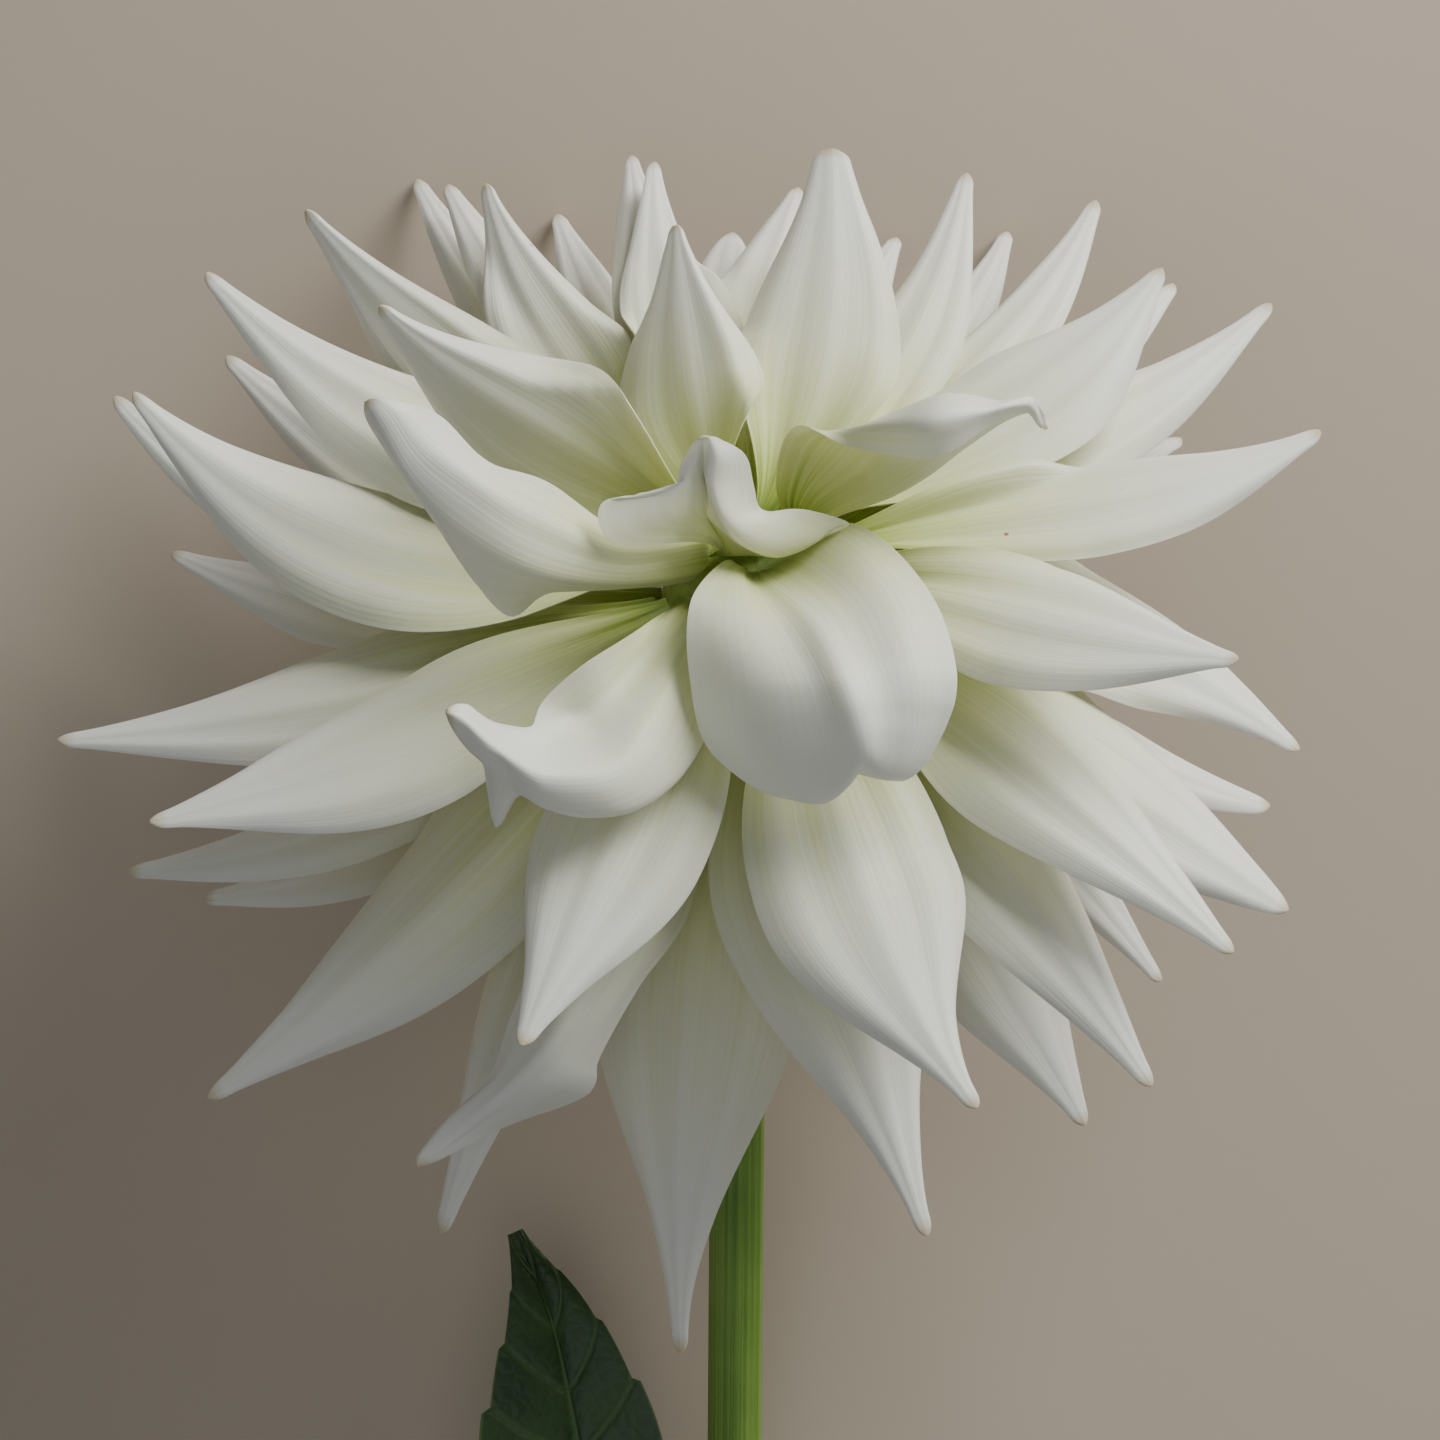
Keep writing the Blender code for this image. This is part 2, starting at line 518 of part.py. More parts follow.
def thicken(lattice, thickness):
    """Closed solid round a sheet: points and faces of its two sides and its rim."""
    rows, columns = lattice.shape[:2]
    offset = sheet_normals(lattice) * thickness / 2
    upper = (lattice + offset).reshape(-1, 3)
    lower = (lattice - offset).reshape(-1, 3)
    faces = lattice_faces(rows, columns)
    count = rows * columns
    faces += [tuple(count + k for k in reversed(face)) for face in faces]
    rim = [(0, j) for j in range(columns)]
    rim += [(i, columns - 1) for i in range(1, rows)]
    rim += [(rows - 1, j) for j in range(columns - 2, -1, -1)]
    rim += [(i, 0) for i in range(rows - 2, 0, -1)]
    ring = [i * columns + j for i, j in rim]
    for here, there in zip(ring, ring[1:] + ring[:1]):
        faces.append((there, here, count + here, count + there))
    return np.vstack((upper, lower)), faces


def make_material(name, colour, roughness):
    material = bpy.data.materials.new(name)
    material.use_nodes = True
    shader = material.node_tree.nodes["Principled BSDF"]
    shader.inputs["Base Color"].default_value = (*colour, 1.0)
    shader.inputs["Roughness"].default_value = roughness
    shader.inputs["Metallic"].default_value = 0.0
    return material


def add_object(name, points, faces, colour, roughness=0.6):
    """A named mesh object from points in millimetres, triangulated and shaded smooth."""
    mesh = bpy.data.meshes.new(name)
    mesh.from_pydata([tuple(p * MM) for p in np.asarray(points)], [], faces)
    body = bmesh.new()
    body.from_mesh(mesh)
    bmesh.ops.triangulate(body, faces=body.faces)
    bmesh.ops.recalc_face_normals(body, faces=body.faces)
    body.to_mesh(mesh)
    body.free()
    mesh.shade_smooth()
    mesh.set_sharp_from_angle(angle=math.radians(50))
    mesh.materials.append(make_material(name, colour, roughness))
    item = bpy.data.objects.new(name, mesh)
    bpy.context.collection.objects.link(item)
    return item


def turned(profile, sides, swell=0.0, lobes=0):
    """Closed solid turned about the head's axis from (radius, height) pairs, pole to pole."""
    points = [AXIS * profile[0][1]]
    for level, (radius, height) in enumerate(profile[1:-1]):
        for k in range(sides):
            angle = math.tau * (k + 0.5 * (level % 2)) / sides
            outward = math.cos(angle) * ACROSS + math.sin(angle) * BACKWARD
            points.append(AXIS * height + outward * radius * (1 + swell * math.cos(lobes * angle)))
    points.append(AXIS * profile[-1][1])
    last = len(points) - 1
    faces = [(0, 1 + k, 1 + (k + 1) % sides) for k in range(sides)]
    for level in range(len(profile) - 3):
        ring = 1 + level * sides
        for k in range(sides):
            here = ring + k
            there = ring + (k + 1) % sides
            faces.append((here, here + sides, there + sides, there))
    ring = 1 + (len(profile) - 3) * sides
    faces += [(last, ring + (k + 1) % sides, ring + k) for k in range(sides)]
    return points, faces


def receptacle():
    """Dome that carries the florets, drawn in behind to the top of the stem."""
    dome = []
    for angle in range(0, 121, 15):
        angle = math.radians(angle)
        dome.append((DOME_RADIUS * math.sin(angle), DOME_RADIUS * math.cos(angle)))
    return turned(dome + list(DOME_BACK), DOME_SIDES)


def young_florets():
    """Small unopened cone of young florets on top of the dome."""
    foot = DOME_RADIUS + FLORET_FOOT
    profile = [(radius, foot + height) for radius, height in YOUNG_CONE]
    return turned(profile, FLORET_SIDES, swell=FLORET_SWELL, lobes=FLORET_LOBES)


def stem():
    """Stem from under the receptacle to the plain cut end, with the pith's bore in that end."""
    route = smooth_route(STEM_ROUTE, np.linspace(0, len(STEM_ROUTE) - 1, STEM_RINGS))
    tangents = np.gradient(route, axis=0)
    tangents[0] = -AXIS
    rings = []
    for i, (centre, tangent) in enumerate(zip(route, tangents)):
        tangent = unit(tangent)
        side = unit(np.cross(tangent, AXIS + np.array([0.0, 0.4, 0.0])))
        up = np.cross(side, tangent)
        filled = min(1.0, 2.5 * i / (STEM_RINGS - 1))
        swell = STEM_NODE_SWELL * math.exp(-((centre[1] - STEM_NODE) / 7) ** 2)
        radius = NECK_RADIUS + (STEM_RADIUS - NECK_RADIUS) * filled + swell
        rings.append((centre, side, up, radius))
    rings.append((centre, side, up, STEM_BORE_RADIUS))
    rings.append((centre - tangent * STEM_BORE_DEPTH, side, up, STEM_BORE_RADIUS))
    points = []
    for centre, side, up, radius in rings:
        for k in range(STEM_SIDES):
            angle = math.tau * k / STEM_SIDES
            points.append(centre + radius * (math.cos(angle) * side + math.sin(angle) * up))
    faces = []
    for level in range(len(rings) - 1):
        for k in range(STEM_SIDES):
            here = level * STEM_SIDES + k
            there = level * STEM_SIDES + (k + 1) % STEM_SIDES
            faces.append((here, there, there + STEM_SIDES, here + STEM_SIDES))
    faces.append(tuple(range(STEM_SIDES)))
    last = (len(rings) - 1) * STEM_SIDES
    faces.append(tuple(last + k for k in reversed(range(STEM_SIDES))))
    return points, faces


def leaf():
    """Leaf with its stalk: one folded, toothed blade that narrows to a channelled stalk."""
    route = smooth_route(LEAF_ROUTE, np.linspace(0, len(LEAF_ROUTE) - 1, LEAF_ROWS))
    tangents = np.gradient(route, axis=0)
    lattice = np.empty((LEAF_ROWS, LEAF_COLUMNS, 3))
    for i, (centre, tangent) in enumerate(zip(route, tangents)):
        s = i / (LEAF_ROWS - 1)
        tangent = unit(tangent)
        face = LEAF_FACE - (LEAF_FACE @ tangent) * tangent
        face = unit(face)
        side = np.cross(tangent, face)
        share = max(0.0, (s - LEAF_STALK) / (1 - LEAF_STALK))
        for j in range(LEAF_COLUMNS):
            c = j / (LEAF_COLUMNS - 1) * 2 - 1
            toothed = 1.0 if j in (0, LEAF_COLUMNS - 1) else 0.0
            half = leaf_half(share, c, toothed)
            lattice[i, j] = centre + side * c * half + face * leaf_fold(s, c, half)
    return lattice


def stand_on_origin():
    """Move every mesh so that the whole flower's box stands on the origin by its bottom centre."""
    items = list(bpy.context.collection.objects)
    corners = np.array([v.co for item in items for v in item.data.vertices])
    lowest = corners.min(axis=0)
    highest = corners.max(axis=0)
    foot = ((lowest[0] + highest[0]) / 2, (lowest[1] + highest[1]) / 2, lowest[2])
    for item in items:
        item.data.transform(Matrix.Translation(-Vector(foot)))


def main():
    for item in list(bpy.data.objects):
        bpy.data.objects.remove(item, do_unlink=True)
    sheets = floret_sheets()
    for design in bracts():
        name = design["name"]
        along, across = COARSE_STEPS
        add_object(name, *thicken(sheets[name][::along, ::across], BRACT_THICKNESS), BRACT_GREEN)
    for design in PETALS:
        name = design["name"]
        along, across = LATTICE_STEPS.get(design["row"], COARSE_STEPS)
        add_object(name, *thicken(sheets[name][::along, ::across], PETAL_THICKNESS), PETAL_WHITE)
    add_object("receptacle", *receptacle(), YOUNG_GREEN)
    add_object("young_florets", *young_florets(), YOUNG_GREEN)
    add_object("stem", *stem(), STEM_GREEN)
    add_object("leaf", *thicken(leaf(), LEAF_THICKNESS), LEAF_GREEN)
    stand_on_origin()
    return sheets


if __name__ == "__main__":
    main()
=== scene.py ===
"""Looks of the cut dahlia flower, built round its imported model.

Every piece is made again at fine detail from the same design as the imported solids, in millimetres about
the middle of the receptacle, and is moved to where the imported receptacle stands.  Petals, bracts and leaf
are sheets on a lattice: the lattice is made finer, given furrows and waved margins along its normals, and
thickened towards its middle.  Each point carries its place on the blade, which the materials read.
"""

import math

import bpy
import numpy as np
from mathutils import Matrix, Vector
from mathutils.bvhtree import BVHTree


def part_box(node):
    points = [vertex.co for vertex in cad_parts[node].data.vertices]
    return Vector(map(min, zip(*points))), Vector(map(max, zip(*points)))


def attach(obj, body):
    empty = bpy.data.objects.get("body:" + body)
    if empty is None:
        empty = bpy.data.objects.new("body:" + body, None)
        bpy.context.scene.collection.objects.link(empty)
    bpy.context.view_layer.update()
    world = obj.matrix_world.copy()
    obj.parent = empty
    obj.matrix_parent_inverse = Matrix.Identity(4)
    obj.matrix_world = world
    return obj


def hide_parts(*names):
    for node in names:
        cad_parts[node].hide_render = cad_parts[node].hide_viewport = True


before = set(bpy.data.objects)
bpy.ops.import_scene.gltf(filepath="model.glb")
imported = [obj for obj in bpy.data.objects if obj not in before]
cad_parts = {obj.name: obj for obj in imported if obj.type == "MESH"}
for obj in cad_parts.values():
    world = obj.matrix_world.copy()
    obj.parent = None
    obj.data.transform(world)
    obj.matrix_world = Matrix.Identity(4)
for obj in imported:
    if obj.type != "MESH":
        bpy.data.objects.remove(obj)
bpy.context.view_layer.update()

# ---- Driving dimensions, in millimetres and degrees ----
MM = 0.001
HEAD_TILT = 39.0              # lean of the head's axis from straight up towards +Y
DOME_RADIUS = 14.0            # receptacle dome that carries every floret
DOME_BACK = ((10.6, -8.8), (7.6, -10.6), (4.4, -11.6), (0.0, -11.6))
SEAT_GAP = 0.9                # from the dome to the middle of a petal's claw
ROW_POLAR = (104, 86, 69, 51, 34, 22)      # angle of each petal row's seats from the axis
PETAL_CLEARANCE = 1.60        # between the middles of two petals, one over the other
LIFT_REACH = 9.0              # how far over itself a petal looks for what it has to clear
LIFT_ROUNDS = 7
CLAW_WIDTH = 4.2
TIP_WIDTH = 2.5
STATIONS = 25                 # lattice lines along a petal
COLUMNS = 25                  # lattice lines across a petal
HANDLE = 0.36                 # share of a petal's length that its end directions hold
KEEL_SPREAD = 0.15            # share of the half width over which the midrib's fold opens
ROLL_START = 0.5              # share of the half width where the margin begins to roll
ROLL_FULL_WIDTH = 6.0         # half width from which a margin rolls in full
LAPEL_RUN = 0.3               # share of the length over which a lapel opens to its full width
LAPEL_CREASE = 0.08           # share of the half width over which a lapel turns
RIPPLE = 0.8                  # slow wave of a petal's margins
RIPPLE_WAVES = 1.6            # along the petal's length
SECTION_STEPS = 32
BRACT_POLAR = 128
BRACT_COUNT = 5
STEM_RADIUS = 4.5
NECK_RADIUS = 3.7
STEM_NODE = -192.0            # where along Y the leaf's node swells the stem
STEM_NODE_SWELL = 0.9
STEM_BORE_RADIUS = 2.6
STEM_BORE_DEPTH = 9.0
LEAF_TEETH = 8
LEAF_LEFT = 21.0              # reach of the leaf's blade from its midrib
LEAF_RIGHT = 16.5
LEAF_STALK = 0.24             # share of the leaf's route that is stalk
LEAF_STALK_HALF = 1.4
DOME_SIDES = 28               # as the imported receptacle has, for finding its place

# ---- Fine detail of the visible pieces ----
PETAL_ROWS = 66
PETAL_COLUMNS = 41
TIP_CROWDING = 1.35           # above 1 draws the rows together towards the tip
PETAL_THICKNESS = 0.50
BRACT_THICKNESS = 0.70
LEAF_THICKNESS = 0.50
MARGIN_THINNING = 0.6         # share of the thickness that is lost at the margin
FURROW_DEPTH = 0.20
FINE_FURROW_DEPTH = 0.03
MARGIN_WAVE = 0.26
TIP_ROUND = 0.022             # share of the length over which the tip is rounded
LEAF_ROWS = 150
LEAF_COLUMNS = 49
STEM_SIDES = 56
STEM_RINGS = 150
STEM_RIBS = 9
STEM_RIB_HEIGHT = 0.012       # share of the radius
STEM_RIB_TWIST = 0.004        # radians for each millimetre along the stem
STEM_NODE_REACH = 7           # how far along the stem the node's swelling fades
STEM_FILLING = 2.5            # above 1 brings the neck to the full radius before the cut end
STEM_RUN = 100                # millimetres along the stem for one unit of its marks
STEM_END_RINGS = ((0.985, -0.12), (0.90, -0.02), (0.72, 0.10), (0.61, 0.0))   # radius share, set back
STEM_BORE_RINGS = (0.15, 0.5, 1.0)         # shares of the bore's depth
STEM_BORE_MOUTH = 1.04        # bore's radius at its mouth, as a share
STEM_BORE_TAPER = 0.08        # share of its radius that it loses by its bottom
YOUNG_FLORETS = 34
YOUNG_SPREAD = 11.5           # degrees from the axis to the outermost young floret
YOUNG_LEAN = 0.6              # share of that angle by which a young floret leans
YOUNG_FOOT = 0.5              # from the dome to the outermost young floret
YOUNG_RISE = 4.2              # how much higher the middle ones stand
YOUNG_DOMING = 1.5
BUD_OUTLINE = ((0.0, 2.3), (0.34, 2.1), (0.52, 1.5), (0.56, 0.8), (0.44, 0.1), (0.0, -0.4))
BUD_SIDES = 10
BUD_GUIDE = (0.31, 0.17, 0.93)             # a way that no bud points, which sets where its turning starts
CORE_OUTLINE = ((0.0, 19.0), (1.2, 18.6), (2.0, 17.0), (2.3, 15.4), (2.0, 14.5), (0.0, 14.4))
CORE_SIDES = 24
GOLDEN_ANGLE = 137.5
VEIN_SWEEP = 1.1              # teeth that a side vein runs forward on its way to the margin
VEIN_SPACING = 6.0            # millimetres taken for the gap between two side veins
VEIN_FADE = 5                 # side veins set in over one part in this many
MIDRIB_GROOVE = 0.35          # depth
MIDRIB_GROOVE_HALF = 0.9      # half of its width
SIDE_GROOVE = 0.32
SIDE_GROOVE_HALF = 0.7
CAMERA_HEIGHT = 0.9           # metres over the middle of the head
VIEW_WIDTH = 0.229            # metres seen across the picture at the middle of the head
VIEW_SHIFT = (-0.021, -0.083)
FLOOR_SIZE = 4.0

# ---- Colours: tones are (place, colour) stops, from claw to tip on a petal, elsewhere dark to light ----
PETAL_TONES = (
    (0.00, (0.15, 0.25, 0.010)), (0.07, (0.36, 0.46, 0.05)), (0.16, (0.60, 0.66, 0.26)),
    (0.30, (0.70, 0.74, 0.41)), (0.50, (0.77, 0.785, 0.60)), (0.82, (0.81, 0.82, 0.745)),
)
PETAL_VEIN = (0.56, 0.60, 0.30, 1.0)
PETAL_DRY_TIP = (0.47, 0.37, 0.19, 1.0)
PETAL_SPECK = (0.30, 0.19, 0.08, 1.0)
RECEPTACLE_TONES = ((0.34, (0.20, 0.30, 0.03)), (0.66, (0.42, 0.52, 0.10)))
FLESH_TONES = ((0.34, (0.42, 0.50, 0.20)), (0.66, (0.62, 0.68, 0.38)))
BRACT_TONES = ((0.3, (0.07, 0.17, 0.022)), (0.7, (0.17, 0.32, 0.06)))
BRACT_MARGIN = (0.36, 0.45, 0.16, 1.0)
STEM_TONES = (
    (0.36, (0.085, 0.200, 0.018)), (0.50, (0.170, 0.330, 0.038)), (0.64, (0.310, 0.480, 0.100)),
)
LEAF_TONES = ((0.32, (0.011, 0.037, 0.005)), (0.68, (0.029, 0.080, 0.010)))
LEAF_NET = (0.05, 0.12, 0.03, 1.0)
LEAF_VEIN = (0.09, 0.18, 0.045, 1.0)
LEAF_MARGIN = (0.14, 0.25, 0.07, 1.0)
FLOOR_TONES = ((0.3, (0.50, 0.42, 0.33)), (0.7, (0.54, 0.46, 0.36)))

# ---- Light: name, direction from the head, distance and size in metres, watts and colour ----
LIGHTS = (
    ("key_light", (0.62, 0.72, 0.32), 0.95, 0.65, 15.5, (1.0, 0.985, 0.955)),
    ("fill_light", (-0.05, -0.30, 0.90), 1.2, 0.9, 1.9, (0.95, 0.97, 1.0)),
)
SKY_COLOUR = (0.88, 0.92, 1.0, 1.0)
SKY_STRENGTH = 0.17

AXIS = np.array([0.0, math.sin(math.radians(HEAD_TILT)), math.cos(math.radians(HEAD_TILT))])
ACROSS = np.array([1.0, 0.0, 0.0])
BACKWARD = np.cross(AXIS, ACROSS)
UPWARD = np.array([0.0, 0.0, 1.0])
LEAF_FACE = np.array([0.15, 0.0, 1.0])     # way that the leaf's upper side looks
STEM_GUIDE = AXIS + np.array([0.0, 0.4, 0.0])      # sets which way is sideways round the stem

# Stem middle line from the back of the receptacle to the cut end, about the receptacle's middle.
STEM_ROUTE = (
    (0.0, -8.0, -9.8), (-0.3, -15.5, -18.5), (-0.9, -30.0, -28.5), (-1.6, -55.0, -36.0),
    (-2.2, -95.0, -42.5), (-2.6, -140.0, -49.5), (-2.9, -190.0, -57.5), (-2.8, -242.0, -65.4),
)
LEAF_ROUTE = (
    (-10.8, -194.0, -56.0), (-16.0, -187.0, -54.0), (-22.0, -175.0, -51.0), (-26.5, -157.0, -49.0),
    (-29.5, -138.0, -48.0), (-33.5, -120.0, -48.5), (-39.5, -106.0, -50.0),
)


def petal(name, row, azimuth, tip, width, **shape):
    """One petal's design: its seat (row and azimuth about the axis), tip, flat width and shape."""
    design = dict(
        name=name, row=row, azimuth=azimuth, tip=np.array(tip, float), width=width,
        broad=0.46,           # share of the length where it is widest
        point=1.35,           # higher is more drawn out at the tip
        rise=(22, -14),       # how its midrib leaves and ends, towards the face, against its chord
        sway=(0, 0),          # the same sideways, to the right when seen from seat to tip
        turn=0, twist=0,      # turn of the whole blade about its midrib, and more of it at the tip
        keel=-8,              # fold along the midrib, below zero for a ridge on the face
        cup=(75, 4, -10),     # bend of each half at seat, middle and tip, above zero for a channel
        left=(-35, -70),      # roll of the left margin at middle and tip, below zero for backwards
        right=(-35, -70),
        left_lapel=None,      # crisp turn of the margin: its angle, where along it starts, and the
        right_lapel=None,     # share of the half width at which its crease runs
        claw_width=CLAW_WIDTH, tip_width=TIP_WIDTH,
        ribs=None,            # for a petal that is shaped by listed ribs instead
    )
    design.update(shape)
    return design


